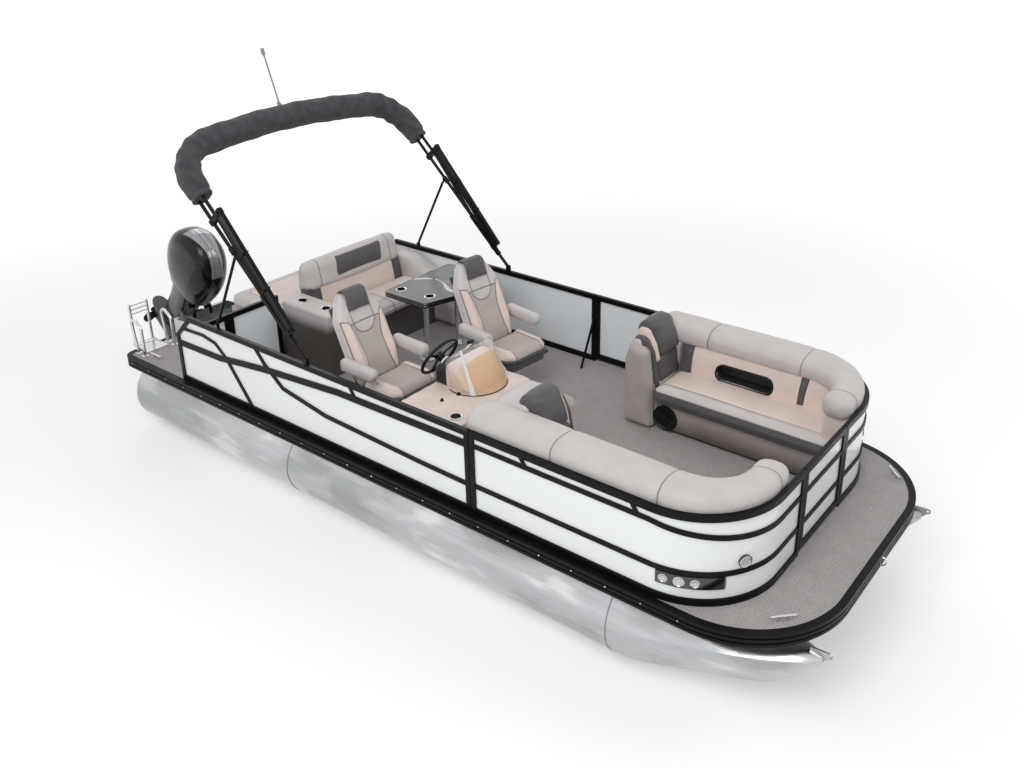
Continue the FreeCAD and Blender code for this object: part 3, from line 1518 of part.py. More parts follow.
def gearcase():
    """The torpedo that holds the propeller shaft."""
    aft_x = gearcase_nose_x - gearcase_length
    form_shares = [(0.0, 0.86), (0.35, 1.0), (0.65, 0.97), (0.85, 0.74), (0.96, 0.4), (1.0, 0.0)]
    outline = [V(aft_x + gearcase_length * along, 0, gearcase_radius * out) for along, out in form_shares]
    curve = Part.BSplineCurve()
    curve.interpolate(outline)
    axis_end = V(aft_x, 0, 0)
    edges = [
        curve.toShape(),
        Part.LineSegment(outline[-1], axis_end).toShape(),
        Part.LineSegment(axis_end, outline[0]).toShape(),
    ]
    form = Part.Face(Part.Wire(edges)).revolve(ORIGIN, AHEAD, 360)
    form.translate(V(0, 0, -gearcase_drop))
    return form


def skeg():
    """The fin under the gearcase."""
    aft_x = gearcase_nose_x - gearcase_length
    depth = skeg_drop - gearcase_drop
    fin_shares = [(0.22, 0.0), (0.38, 1.0), (0.56, 1.0), (0.75, 0.0)]
    outline = [(aft_x + gearcase_length * along, -gearcase_drop - depth * down) for along, down in fin_shares]
    return prism(outline, -skeg_thickness / 2, skeg_thickness / 2)


def propeller():
    """Hub and pitched blades on the gearcase's axis."""
    front = V(gearcase_nose_x - gearcase_length - propeller_gap, 0, 0)
    aft = AHEAD * -1
    pieces = [Part.makeCone(propeller_hub_radius, propeller_hub_radius * 0.8, propeller_length, front, aft)]
    # A blade's outline: across its chord, and out from the axis.
    blade_shares = [
        (-0.28, 0.1),
        (-0.42, 0.45),
        (-0.5, 0.72),
        (-0.3, 0.95),
        (0.05, 1.0),
        (0.36, 0.88),
        (0.5, 0.6),
        (0.3, 0.1),
    ]
    for i in range(blade_count):
        corners = [V(-blade_thickness / 2, blade_chord * c, propeller_radius * r) for c, r in blade_shares]
        blade = Part.Face(Part.makePolygon(corners + corners[:1])).extrude(V(blade_thickness, 0, 0))
        blade.rotate(ORIGIN, UP, blade_pitch)
        blade.translate(front + aft * (propeller_length / 2))
        blade.rotate(front, AHEAD, 360.0 / blade_count * i)
        pieces.append(blade)
    reach = Part.makeCylinder(propeller_radius, propeller_length, front, aft)
    blades = joined(pieces).common(reach)
    shaft = rod(front + aft * propeller_gap, front - aft * (propeller_gap - clearance), kingpin_radius)
    shape = joined([blades, shaft])
    shape.translate(V(0, 0, -gearcase_drop))
    return shape


def cleat():
    """A horned cleat on two feet, lying along X."""
    half = cleat_length / 2
    bar_z = cleat_height - cleat_radius
    pieces = [rod(V(-half, 0, bar_z), V(half, 0, bar_z), cleat_radius)]
    for side in (-1, 1):
        pieces.append(Part.makeCylinder(cleat_radius, bar_z, V(side * half * 0.35, 0, 0)))
    return joined(pieces)


def deck_fittings():
    """Four cleats and the ring on the bow."""
    pieces = []
    for x, y, turn in ((bow_cleat_x, bow_cleat_y, 45.0), (stern_cleat_x, stern_cleat_y, 0.0)):
        pieces.append(set_down(cleat(), x, -y, turn))
        pieces.append(set_down(cleat(), x, y, -turn))
    ring_z = deck_z - rub_rail_depth / 2
    eye = Part.makeTorus(bow_ring_radius, bow_ring_wire, V(deck_length + bow_ring_wire, 0, ring_z), ACROSS)
    pieces.append(eye.common(block(deck_length, deck_length + beam, -half_beam, half_beam, 0, deck_z)))
    return group(pieces)


def save():
    """Moves the boat to its origin and writes one file per node."""
    whole = Part.makeCompound(list(nodes.values()))
    extent = whole.optimalBoundingBox(False)
    home = V(-(extent.XMin + extent.XMax) / 2, 0, 0)
    for name, shape in nodes.items():
        shape.translate(home)
        shape.exportStep("parts/" + name + ".step")
    return home


def build():
    """Makes every node."""
    starboard = pontoon()
    nodes["pontoon_starboard"] = starboard
    nodes["pontoon_port"] = port_of(starboard)
    nodes["cross_members"] = cross_members()
    nodes["motor_pod"] = motor_pod()
    nodes["deck"] = deck_slab(rub_rail_width, deck_under_z, deck_z)
    nodes["rub_rail"] = rub_rail()
    fences_and_gates()
    nodes["docking_lights"] = docking_lights()
    front_lounges()
    rear_seats()
    table()
    helm()
    swivel_seats()
    folded_top()
    ladder()
    outboard()
    nodes["deck_fittings"] = deck_fittings()


os.makedirs("parts", exist_ok=True)
build()
home = save()
print("moved by", round(home.x, 3), "nodes", len(nodes))
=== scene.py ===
import logging
import math
from dataclasses import dataclass, field, replace
from enum import Enum
from functools import partialmethod
from typing import Callable, Iterable, Sequence

import bmesh
import bpy
import numpy as np
from mathutils.bvhtree import BVHTree
from mathutils.kdtree import KDTree
from mathutils import Matrix, Vector


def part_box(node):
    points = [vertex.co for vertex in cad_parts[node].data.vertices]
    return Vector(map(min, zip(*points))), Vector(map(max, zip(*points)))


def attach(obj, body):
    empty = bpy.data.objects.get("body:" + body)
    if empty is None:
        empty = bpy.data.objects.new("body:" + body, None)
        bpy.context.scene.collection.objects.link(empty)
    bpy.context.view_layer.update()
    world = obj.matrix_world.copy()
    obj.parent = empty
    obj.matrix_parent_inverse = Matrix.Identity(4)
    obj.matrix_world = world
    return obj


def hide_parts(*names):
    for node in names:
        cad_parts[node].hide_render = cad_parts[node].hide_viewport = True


logging.basicConfig(level=logging.INFO, format="%(levelname)s %(name)s: %(message)s")
LOG = logging.getLogger("pontoon_boat")

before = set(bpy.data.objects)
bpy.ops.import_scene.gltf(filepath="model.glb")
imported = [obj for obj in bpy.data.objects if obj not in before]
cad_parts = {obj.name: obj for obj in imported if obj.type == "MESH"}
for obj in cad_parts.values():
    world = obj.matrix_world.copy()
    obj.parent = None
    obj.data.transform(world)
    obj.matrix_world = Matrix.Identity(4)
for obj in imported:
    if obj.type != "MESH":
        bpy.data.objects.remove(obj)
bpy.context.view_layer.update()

Colour = tuple[float, float, float]
Profile = Sequence[tuple[float, float]]
Socket = bpy.types.NodeSocket

TINY = 1e-9
SHARP = math.radians(38)
WALL_LEVELS = 5
SIDES = (-1, 1)


class Palette(Enum):
    """Linear colours of the boat's surfaces."""

    GREIGE = (0.590, 0.548, 0.540)
    BLUSH = (0.740, 0.618, 0.566)
    TAUPE = (0.455, 0.400, 0.380)
    CHARCOAL = (0.082, 0.077, 0.082)
    UMBER = (0.075, 0.060, 0.055)
    CANVAS = (0.034, 0.036, 0.041)
    HULL_WHITE = (0.93, 0.95, 0.965)
    INNER_GREY = (0.88, 0.92, 0.95)
    SATIN_BLACK = (0.0045, 0.0045, 0.005)
    DECK = (0.35, 0.325, 0.318)
    ALUMINIUM = (0.56, 0.57, 0.59)
    STEEL = (0.66, 0.66, 0.67)
    SILVER = (0.32, 0.33, 0.35)
    MOTOR_GREY = (0.032, 0.033, 0.035)
    AMBER = (0.94, 0.79, 0.61)
    LENS = (0.9, 0.9, 0.92)
    IRON = (0.18, 0.18, 0.18)
    FLOOR = (0.80, 0.80, 0.80)


@dataclass(frozen=True)
class Photo:
    """The photograph's frame in pixels and where it was taken from, in degrees."""

    width: float = 1024.0
    height: float = 768.0
    focal: float = 992.405
    centre_x: float = 557.598
    centre_y: float = 286.666
    azimuth: float = 36.6895
    elevation: float = 22.3714
    roll: float = -0.1707
    eye: tuple[float, float, float] = (8.24728, -5.55069, 4.10874)


class Site:
    """Places on the boat, measured forward from the deck's rear edge, to port, and up from the deck's top."""

    def __init__(self) -> None:
        """Reads the deck's rear edge and top from the CAD model."""
        self.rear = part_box("rub_rail")[0].x
        self.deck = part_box("deck")[1].z

    def at(self, x: float, y: float, z: float) -> Vector:
        """Finds a place in the frame, given forward of the rear edge, to port and above the deck."""
        return Vector((self.rear + x, y, self.deck + z))


@dataclass(frozen=True)
class Axes:
    """A local frame: an origin and its three unit directions."""

    origin: Vector
    u: Vector
    v: Vector
    w: Vector

    def to_world(self, points: np.ndarray) -> np.ndarray:
        """Carries local points into the boat's frame."""
        basis = np.array([self.u, self.v, self.w])
        return np.asarray(points) @ basis + np.array(self.origin)

def axes(origin: Vector, u: Sequence[float], w: Sequence[float]) -> Axes:
    """Makes a right-handed frame from its first and last direction.

    Args:
        origin: The frame's origin.
        u: The first direction.
        w: The direction the form rises in, made square to u.

    Returns:
        The frame.
    """
    first = Vector(u).normalized()
    up = Vector(w)
    up = (up - first * up.dot(first)).normalized()
    return Axes(origin, first, up.cross(first), up)


class Graph:
    """A material's node tree with short helpers for arithmetic on sockets."""

    def __init__(self, name: str) -> None:
        """Makes a material of the given name.

        Args:
            name: Its name.
        """
        self.material = bpy.data.materials.new(name)
        self.material.use_nodes = True
        self.tree = self.material.node_tree
        self.shader = self.tree.nodes["Principled BSDF"]
        self._local: Sequence[Socket] | None = None

    def feed(self, socket: Socket, value: object) -> None:
        """Links a socket to another, or sets its plain value.

        Args:
            socket: The input.
            value: A socket, a number, a vector or a colour.
        """
        if isinstance(value, Socket):
            self.tree.links.new(value, socket)
        elif isinstance(value, tuple) and len(value) == 3 and socket.type == "RGBA":
            socket.default_value = (*value, 1.0)
        else:
            socket.default_value = value

    def node(self, kind: str, *values: object, **settings: object) -> bpy.types.Node:
        """Adds a node.

        Args:
            kind: The node's type name.
            *values: What its first inputs get, in their order.
            **settings: Properties to set on it.

        Returns:
            The new node.
        """
        made = self.tree.nodes.new(kind)
        for key, value in settings.items():
            setattr(made, key, value)
        for socket, value in zip(made.inputs, values):
            self.feed(socket, value)
        return made

    def named(self, kind: str, values: dict[str, object], **settings: object) -> bpy.types.Node:
        """Adds a node whose inputs are given by name.

        Args:
            kind: The node's type name.
            values: What each named input gets.
            **settings: Properties to set on it.

        Returns:
            The new node.
        """
        made = self.node(kind, **settings)
        for key, value in values.items():
            self.feed(made.inputs[key], value)
        return made

    def math(self, operation: str, *values: object) -> Socket:
        """Adds a Math node of the given operation and returns its output."""
        return self.node("ShaderNodeMath", *values, operation=operation).outputs[0]

    plus = partialmethod(math, "ADD")
    minus = partialmethod(math, "SUBTRACT")
    times = partialmethod(math, "MULTIPLY")
    power = partialmethod(math, "POWER")
    least = partialmethod(math, "MINIMUM")
    most = partialmethod(math, "MAXIMUM")
    absolute = partialmethod(math, "ABSOLUTE")

    def vector(self, operation: str, *values: object) -> Sequence[Socket]:
        """Adds a Vector Math node of the given operation and returns its outputs."""
        return self.node("ShaderNodeVectorMath", *values, operation=operation).outputs

    def split(self, vector: Socket) -> Sequence[Socket]:
        """Parts a vector into its three numbers."""
        return self.node("ShaderNodeSeparateXYZ", vector).outputs

    def ramp(self, value: object, low: float, high: float, to_low: float = 0.0, to_high: float = 1.0) -> Socket:
        """Maps a range smoothly on to another."""
        values = {"Value": value, "From Min": low, "From Max": high, "To Min": to_low, "To Max": to_high}
        return self.named("ShaderNodeMapRange", values, interpolation_type="SMOOTHSTEP").outputs["Result"]

    def blend(self, factor: object, first: object, second: object) -> Socket:
        """Mixes two colours.

        Args:
            factor: Zero for the first, one for the second.
            first: A colour or socket.
            second: A colour or socket.

        Returns:
            The mixed colour.
        """
        made = self.named("ShaderNodeMix", {"Factor": factor}, data_type="RGBA")
        self.feed(made.inputs[6], first)
        self.feed(made.inputs[7], second)
        return made.outputs[2]

    def place(self, scale: Colour = (1.0, 1.0, 1.0)) -> Socket:
        """Gives the object's coordinates, scaled on each axis."""
        source = self.node("ShaderNodeTexCoord").outputs["Object"]
        return self.named("ShaderNodeMapping", {"Vector": source, "Scale": scale}).outputs["Vector"]

    def noise(self, vector: object, scale: float, detail: float = 3.0, rough: float = 0.5) -> Socket:
        """Adds a noise texture of a scale, a number of octaves and their falloff."""
        values = {"Vector": vector, "Scale": scale, "Detail": detail, "Roughness": rough}
        return self.named("ShaderNodeTexNoise", values).outputs["Fac"]

    def cells(self, vector: object, scale: float, feature: str = "F1") -> Socket:
        """Adds a cell texture and returns the distance that the feature names."""
        values = {"Vector": vector, "Scale": scale}
        return self.named("ShaderNodeTexVoronoi", values, feature=feature).outputs["Distance"]

    def local(self, axis: str) -> Socket:
        """Reads a pad's own coordinate, u, v or w, in metres, from its stored attribute.

        Args:
            axis: u, v or w.

        Returns:
            The coordinate's socket.
        """
        if self._local is None:
            self._local = self.split(self.node("ShaderNodeAttribute", attribute_name="pad").outputs["Vector"])
        return self._local["uvw".index(axis)]

    def rounded(self, u: float, v: float, half_u: float, half_v: float, radius: float, used: str = "uv") -> Socket:
        """Measures how far inside a rounded rectangle a point of the pad lies.

        Args:
            u: The rectangle's centre on its first axis.
            v: Its centre on the second.
            half_u: Half its size on the first axis.
            half_v: Half its size on the second.
            radius: Its corners' radius.
            used: Which of the pad's axes these are.

        Returns:
            The distance in metres, positive inside.
        """
        away = []
        for axis, centre, half in ((used[0], u, half_u), (used[1], v, half_v)):
            away.append(self.minus(self.absolute(self.minus(self.local(axis), centre)), half - radius))
        outside = [self.power(self.most(a, 0.0), 2.0) for a in away]
        length = self.math("SQRT", self.plus(*outside))
        return self.minus(radius, self.plus(length, self.least(self.most(*away), 0.0)))

    def bump(self, height: object, depth: float, normal: Socket | None = None) -> Socket:
        """Adds a bump.

        Args:
            height: The height socket.
            depth: The bump's distance in metres.
            normal: A normal to build on.

        Returns:
            The bumped normal.
        """
        values = {"Distance": depth, "Strength": 1.0, "Height": height}
        if normal is not None:
            values["Normal"] = normal
        return self.named("ShaderNodeBump", values).outputs["Normal"]

    def set(self, **values: object) -> None:
        """Feeds the shader's inputs, named in lower case with underscores."""
        names = {socket.name.lower().replace(" ", "_"): socket for socket in self.shader.inputs}
        for key, value in values.items():
            self.feed(names[key], value)


@dataclass(frozen=True)
class Zone:
    """A sewn panel of its own colour, where its test of the pad's coordinates is positive."""

    colour: Palette
    test: Callable[[Graph], bpy.types.NodeSocket]


@dataclass(frozen=True)
class Finish:
    """A surface by its material's name. Each kind draws its own graph."""

    name: str

    def draw(self, g: Graph) -> None:
        """Fills the material's graph."""
        raise NotImplementedError

    def material(self) -> bpy.types.Material:
        """Gives the material, made the first time it is asked for.

        Returns:
            The material.
        """
        if self.name not in MADE:
            graph = Graph(self.name)
            self.draw(graph)
            MADE[self.name] = graph.material
        return MADE[self.name]


MADE: dict[str, bpy.types.Material] = {}


@dataclass(frozen=True)
class Vinyl(Finish):
    """Marine upholstery vinyl: fine grain, soft creases, and sewn seams between its zones, later ones on top, with
    painted shade darkening each seam's groove.
    """

    colour: Palette
    zones: tuple[Zone, ...] = ()
    worn: float = 0.5

    def draw(self, g: Graph) -> None:
        """Fills the material's graph.

        Args:
            g: The material's graph.
        """
        tone: object = self.colour.value
        seam: object = 1.0
        for zone in self.zones:
            distance = zone.test(g)
            tone = g.blend(g.ramp(distance, -0.0006, 0.0006), tone, zone.colour.value)
            seam = g.least(seam, g.absolute(distance))
        where = g.place()
        shade = g.ramp(g.noise(where, 7.0, 4.0), 0.3, 0.7, 1.0 - 0.10 * self.worn, 1.0 + 0.05 * self.worn)
        if self.zones:
            # A narrow dark band along each seam: painted shade in the sewn groove.
            shade = g.times(shade, g.ramp(seam, 0.0012, 0.0045, 0.26, 1.0))
        else:
            tone = g.blend(0.0, tone, tone)
        grey = g.node("ShaderNodeCombineXYZ", shade, shade, shade).outputs[0]
        grain = g.plus(g.cells(where, 650.0), g.times(g.noise(where, 1500.0, 2.0), 0.5))
        normal = g.bump(g.noise(where, 11.0, 3.0, 0.55), 0.006, g.bump(grain, 0.00022))
        if self.zones:
            normal = g.bump(g.ramp(seam, 0.0, 0.010), 0.005, normal)
        g.set(base_color=g.vector("MULTIPLY", tone, grey)[0], normal=normal)
        g.set(roughness=g.ramp(grain, 0.2, 1.0, 0.40, 0.52), specular_ior_level=0.42, sheen_weight=0.08)


@dataclass(frozen=True)
class Aluminium(Finish):
    """Rolled hull sheet with long mill streaks, soft dents in its shine, and large dark and bright patches of painted
    reflection and painted highlight in its colour.
    """

    def draw(self, g: Graph) -> None:
        """Fills the material's graph.

        Args:
            g: The material's graph.
        """
        streaks = g.noise(g.place((0.5, 16.0, 16.0)), 4.0, 4.0, 0.5)
        reflection_patches = g.noise(g.place((0.7, 1.6, 2.4)), 1.7, 3.0)
        tone = g.blend(g.ramp(streaks, 0.3, 0.75), (0.50, 0.51, 0.52), Palette.ALUMINIUM.value)
        # Large dark and bright patches in the colour: painted reflections and painted highlights on the tubes.
        tone = g.blend(g.ramp(reflection_patches, 0.46, 0.62, 0.0, 0.60), tone, (0.30, 0.31, 0.31))
        tone = g.blend(g.ramp(reflection_patches, 0.30, 0.42, 0.75, 0.0), tone, (0.80, 0.81, 0.82))
        normal = g.bump(g.noise(g.place((0.5, 1.4, 1.4)), 1.8, 2.0), 0.012)
        normal = g.bump(streaks, 0.00025, normal)
        g.set(base_color=tone, normal=normal, metallic=1.0, roughness=g.ramp(reflection_patches, 0.3, 0.7, 0.16, 0.30))


@dataclass(frozen=True)
class Coat(Finish):
    """Powder coat or moulded paint with a fine orange peel; gloss is the weight of a clear coat."""

    colour: Palette
    rough: float = 0.35
    metal: float = 0.0
    gloss: float = 0.0

    def draw(self, g: Graph) -> None:
        """Fills the material's graph.

        Args:
            g: The material's graph.
        """
        where = g.place()
        wear = g.noise(where, 9.0, 5.0)
        low = tuple(c * 0.86 for c in self.colour.value)
        g.set(base_color=g.blend(g.ramp(wear, 0.35, 0.7), low, self.colour.value), metallic=self.metal)
        g.set(roughness=g.ramp(wear, 0.3, 0.75, self.rough * 0.85, self.rough * 1.2))
        g.set(normal=g.bump(g.noise(where, 420.0, 2.0), 0.00015), coat_weight=self.gloss, coat_roughness=0.05)
        g.set(specular_ior_level=0.5 if self.metal or self.gloss else 0.13)


@dataclass(frozen=True)
class Plastic(Finish):
    """Moulded plastic with a pebbled skin."""

    colour: Palette
    rough: float = 0.5

    def draw(self, g: Graph) -> None:
        """Fills the material's graph.

        Args:
            g: The material's graph.
        """
        where = g.place()
        pebble = g.cells(where, 420.0, "SMOOTH_F1")
        low = tuple(c * 0.85 for c in self.colour.value)
        g.set(base_color=g.blend(g.ramp(g.noise(where, 5.0, 4.0), 0.3, 0.7), low, self.colour.value))
        g.set(roughness=g.ramp(pebble, 0.0, 1.0, self.rough * 0.9, self.rough * 1.1), specular_ior_level=0.3)
        g.set(normal=g.bump(pebble, 0.0004))


@dataclass(frozen=True)
class ShadedBody(Finish):
    """Moulded furniture whose pale top darkens towards its foot between two heights."""

    upper: Palette
    lower: Palette
    z_low: float
    z_high: float

    def draw(self, g: Graph) -> None:
        """Fills the material's graph.

        Args:
            g: The material's graph.
        """
        where = g.place()
        wander = g.times(g.noise(where, 3.0, 2.0), 0.06)
        level = g.ramp(g.plus(g.split(where)[2], wander), self.z_low, self.z_high)
        normal = g.bump(g.cells(where, 500.0, "SMOOTH_F1"), 0.0003)
        g.set(base_color=g.blend(level, self.lower.value, self.upper.value), normal=normal, roughness=0.5)


@dataclass(frozen=True)
class FenceSkin(Finish):
    """Fence sheet: gloss white outside and pale grey inside, told apart by which way it faces."""

    def draw(self, g: Graph) -> None:
        """Fills the material's graph.

        Args:
            g: The material's graph.
        """
        facing = g.node("ShaderNodeNewGeometry").outputs["True Normal"]
        side = g.ramp(g.vector("DOT_PRODUCT", g.place(), facing)["Value"], -0.02, 0.02)
        waves = g.noise(g.place((0.9, 0.9, 1.2)), 1.6, 2.0)
        inner = g.blend(g.ramp(waves, 0.3, 0.7), (0.83, 0.88, 0.91), Palette.INNER_GREY.value)
        g.set(base_color=g.blend(side, inner, Palette.HULL_WHITE.value), normal=g.bump(waves, 0.004))
        g.set(roughness=0.22, coat_weight=0.5, coat_roughness=0.04)


@dataclass(frozen=True)
class Decking(Finish):
    """Woven vinyl flooring: a mottled grey weave with pale flecks."""

    def draw(self, g: Graph) -> None:
        """Fills the material's graph.

        Args:
            g: The material's graph.
        """
        fleck = g.noise(g.place((95.0, 150.0, 100.0)), 1.0, 3.0, 0.75)
        thread = g.noise(g.place((420.0, 240.0, 240.0)), 1.0, 2.0, 0.6)
        patch = g.noise(g.place(), 9.0, 5.0, 0.7)
        tone = g.blend(g.ramp(fleck, 0.40, 0.60), (0.215, 0.197, 0.194), (0.51, 0.475, 0.468))
        tone = g.blend(g.ramp(thread, 0.46, 0.54, 0.0, 0.38), tone, (0.62, 0.60, 0.60))
        tone = g.blend(g.ramp(patch, 0.36, 0.64, 0.0, 0.45), tone, Palette.DECK.value)
        normal = g.bump(g.plus(fleck, g.times(thread, 0.6)), 0.0035)
        g.set(base_color=tone, roughness=0.88, specular_ior_level=0.15, normal=normal)


@dataclass(frozen=True)
class Canvas(Finish):
    """Woven acrylic canvas with a fine weave and soft folds."""

    def draw(self, g: Graph) -> None:
        """Fills the material's graph.

        Args:
            g: The material's graph.
        """
        warp = g.math("SINE", g.times(g.noise(g.place(), 900.0, 0.0), 9.0))
        folds = g.noise(g.place((5.0, 11.0, 11.0)), 1.2, 3.0, 0.5)
        tone = g.blend(g.ramp(folds, 0.3, 0.7), Palette.CANVAS.value, (0.060, 0.062, 0.068))
        normal = g.bump(warp, 0.0004, g.bump(folds, 0.010))
        g.set(base_color=tone, normal=normal, roughness=0.84, sheen_weight=0.10, sheen_roughness=0.5)


@dataclass(frozen=True)
class Bright(Finish):
    """Polished metal with faint polishing lines."""

    colour: Palette
    rough: float

    def draw(self, g: Graph) -> None:
        """Fills the material's graph.

        Args:
            g: The material's graph.
        """
        lines = g.noise(g.place((60.0, 60.0, 400.0)), 2.0, 2.0)
        g.set(base_color=self.colour.value, metallic=1.0, normal=g.bump(lines, 0.00008))
        g.set(roughness=g.ramp(lines, 0.2, 0.8, self.rough * 0.7, self.rough * 1.4))


@dataclass(frozen=True)
class Acrylic(Finish):
    """Tinted acrylic or a clear lens; through is how much light passes."""

    colour: Palette
    through: float

    def draw(self, g: Graph) -> None:
        """Fills the material's graph."""
        haze = g.ramp(g.noise(g.place(), 30.0, 2.0), 0.2, 0.8, 0.03, 0.08)
        g.set(base_color=self.colour.value, roughness=haze, ior=1.3, transmission_weight=self.through)


@dataclass(frozen=True)
class Laminate(Finish):
    """Dark gloss laminate with a fine pale fleck."""

    def draw(self, g: Graph) -> None:
        """Fills the material's graph.

        Args:
            g: The material's graph.
        """
        where = g.place()
        fleck = g.noise(where, 260.0, 3.0, 0.7)
        cloud = g.noise(where, 6.0, 4.0)
        tone = g.blend(g.ramp(fleck, 0.52, 0.66), (0.040, 0.042, 0.045), (0.11, 0.115, 0.12))
        tone = g.blend(g.ramp(cloud, 0.35, 0.7, 0.0, 0.4), tone, (0.075, 0.078, 0.082))
        g.set(base_color=tone, roughness=g.ramp(cloud, 0.3, 0.7, 0.20, 0.28), specular_ior_level=0.35)


@dataclass(frozen=True)
class Tinted(Finish):
    """Clear acrylic, amber below an arc and weaker in front of the driver."""

    def draw(self, g: Graph) -> None:
        """Fills the material's graph.

        Args:
            g: The material's graph.
        """
        turn, up = g.local("u"), g.local("v")
        arc = g.minus(0.80, g.times(g.power(turn, 2.0), 0.12))
        amber = g.ramp(g.minus(arc, up), 0.0, 0.012)
        front = g.ramp(g.absolute(g.plus(turn, 0.1)), 0.84, 0.90, 1.0, 0.42)
        haze = g.ramp(g.noise(g.place(), 30.0, 2.0), 0.2, 0.8, 0.02, 0.06)
        g.set(base_color=g.blend(g.times(amber, front), (0.97, 0.96, 0.95), Palette.AMBER.value))
        g.set(roughness=haze, ior=1.25, transmission_weight=0.88)


@dataclass(frozen=True)
class CowlPaint(Finish):
    """The motor's cowl: gloss black with grey flanks, a silver insert on top and a parting line.

    The tilt, in radians, and the tilt tube's centre bring a point back to where it lies with the motor down.
    """

    tilt: float
    pivot: tuple[float, float, float]

    def draw(self, g: Graph) -> None:
        """Fills the material's graph.

        Args:
            g: The material's graph.
        """
        source = g.node("ShaderNodeTexCoord").outputs["Object"]
        moved = g.vector("SUBTRACT", source, self.pivot)[0]
        turned_back = {"Vector": moved, "Angle": -self.tilt}
        lowered = g.named("ShaderNodeVectorRotate", turned_back, rotation_type="Y_AXIS").outputs[0]
        along, across, up = g.split(lowered)
        width = g.absolute(across)
        insert = g.least(g.minus(g.ramp(along, -0.45, -0.02, 0.125, 0.070), width), g.minus(up, 0.565))
        insert = g.least(insert, g.plus(along, 0.44))
        rib = g.least(g.absolute(g.minus(width, 0.030)), g.absolute(insert))
        flank = g.minus(width, g.plus(g.times(up, 0.10), 0.115))
        flank = g.least(flank, g.minus(-0.06, along))
        parting = g.absolute(g.minus(up, g.plus(g.times(along, -0.10), 0.235)))
        tone = g.blend(g.ramp(flank, 0.0, 0.002), Palette.SATIN_BLACK.value, Palette.MOTOR_GREY.value)
        tone = g.blend(g.ramp(insert, 0.0, 0.002), tone, Palette.SILVER.value)
        line = g.least(parting, g.most(rib, g.ramp(insert, -0.004, 0.0, 0.01, 0.0)))
        tone = g.blend(g.ramp(line, 0.0015, 0.003), (0.004, 0.004, 0.004), tone)
        g.set(base_color=tone, roughness=0.20, specular_ior_level=0.20, coat_weight=0.30, coat_roughness=0.03)
        g.set(metallic=g.ramp(insert, 0.0, 0.002, 0.0, 0.55), normal=g.bump(g.ramp(line, 0.0, 0.006), 0.004))


STAINLESS = Bright("stainless", Palette.STEEL, 0.10)
FENCE_BLACK = Coat("fence_black", Palette.SATIN_BLACK, 0.30)
TUBE_BLACK = Coat("tube_black", Palette.SATIN_BLACK, 0.28)
TRAY_BLACK = Plastic("black_tray", Palette.SATIN_BLACK, 0.35)
SPEAKER_BLACK = Plastic("speaker_black", Palette.SATIN_BLACK, 0.42)
DASH_BLACK = Plastic("dash_black", Palette.SATIN_BLACK, 0.45)
CHARCOAL_VINYL = Vinyl("charcoal_vinyl", Palette.CHARCOAL)
POD_VINYL = Vinyl("pod_vinyl", Palette.GREIGE)


SITE = Site()


def link(obj: bpy.types.Object) -> bpy.types.Object:
    """Links an object to the scene and returns it."""
    bpy.context.scene.collection.objects.link(obj)
    return obj


def plain_mesh(obj: bpy.types.Object) -> bpy.types.Mesh:
    """Makes a plain mesh of an object as its modifiers show it, and clears them.

    Args:
        obj: The object.

    Returns:
        The new mesh.
    """
    bpy.context.view_layer.update()
    mesh = bpy.data.meshes.new_from_object(obj.evaluated_get(bpy.context.evaluated_depsgraph_get()))
    obj.modifiers.clear()
    return mesh


class Form:
    """Points and faces of one piece, gathered before its mesh is made."""

    def __init__(self) -> None:
        """Starts without points."""
        self.points: list[np.ndarray] = []
        self.local: list[np.ndarray] = []
        self.faces: list[tuple[int, ...]] = []
        self.count = 0

    def add(self, points: np.ndarray, faces: Iterable[Sequence[int]], local: np.ndarray | None = None) -> "Form":
        """Adds a part of the piece.

        Args:
            points: An array of (x, y, z) rows.
            faces: Faces by index into those rows.
            local: The pad coordinates of the rows, or None for the rows themselves.

        Returns:
            This form.
        """
        points = np.asarray(points, float)
        self.points.append(points)
        self.local.append(points if local is None else np.asarray(local, float))
        self.faces.extend(tuple(int(i) + self.count for i in face) for face in faces)
        self.count += len(points)
        return self

    def make(self, name: str, finish: Finish) -> bpy.types.Object:
        """Makes the object, shaded smooth apart from its sharp edges, and links it to the scene.

        Args:
            name: Its name.
            finish: Its finish.

        Returns:
            The object.
        """
        mesh = bpy.data.meshes.new(name)
        mesh.from_pydata(np.vstack(self.points).tolist(), [], self.faces)
        attribute = mesh.attributes.new("pad", "FLOAT_VECTOR", "POINT")
        attribute.data.foreach_set("vector", np.vstack(self.local).ravel())
        work = bmesh.new()
        work.from_mesh(mesh)
        bmesh.ops.recalc_face_normals(work, faces=work.faces)
        work.to_mesh(mesh)
        work.free()
        mesh.materials.append(finish.material())
        mesh.shade_smooth()
        mesh.set_sharp_from_angle(angle=SHARP)
        return link(bpy.data.objects.new(name, mesh))


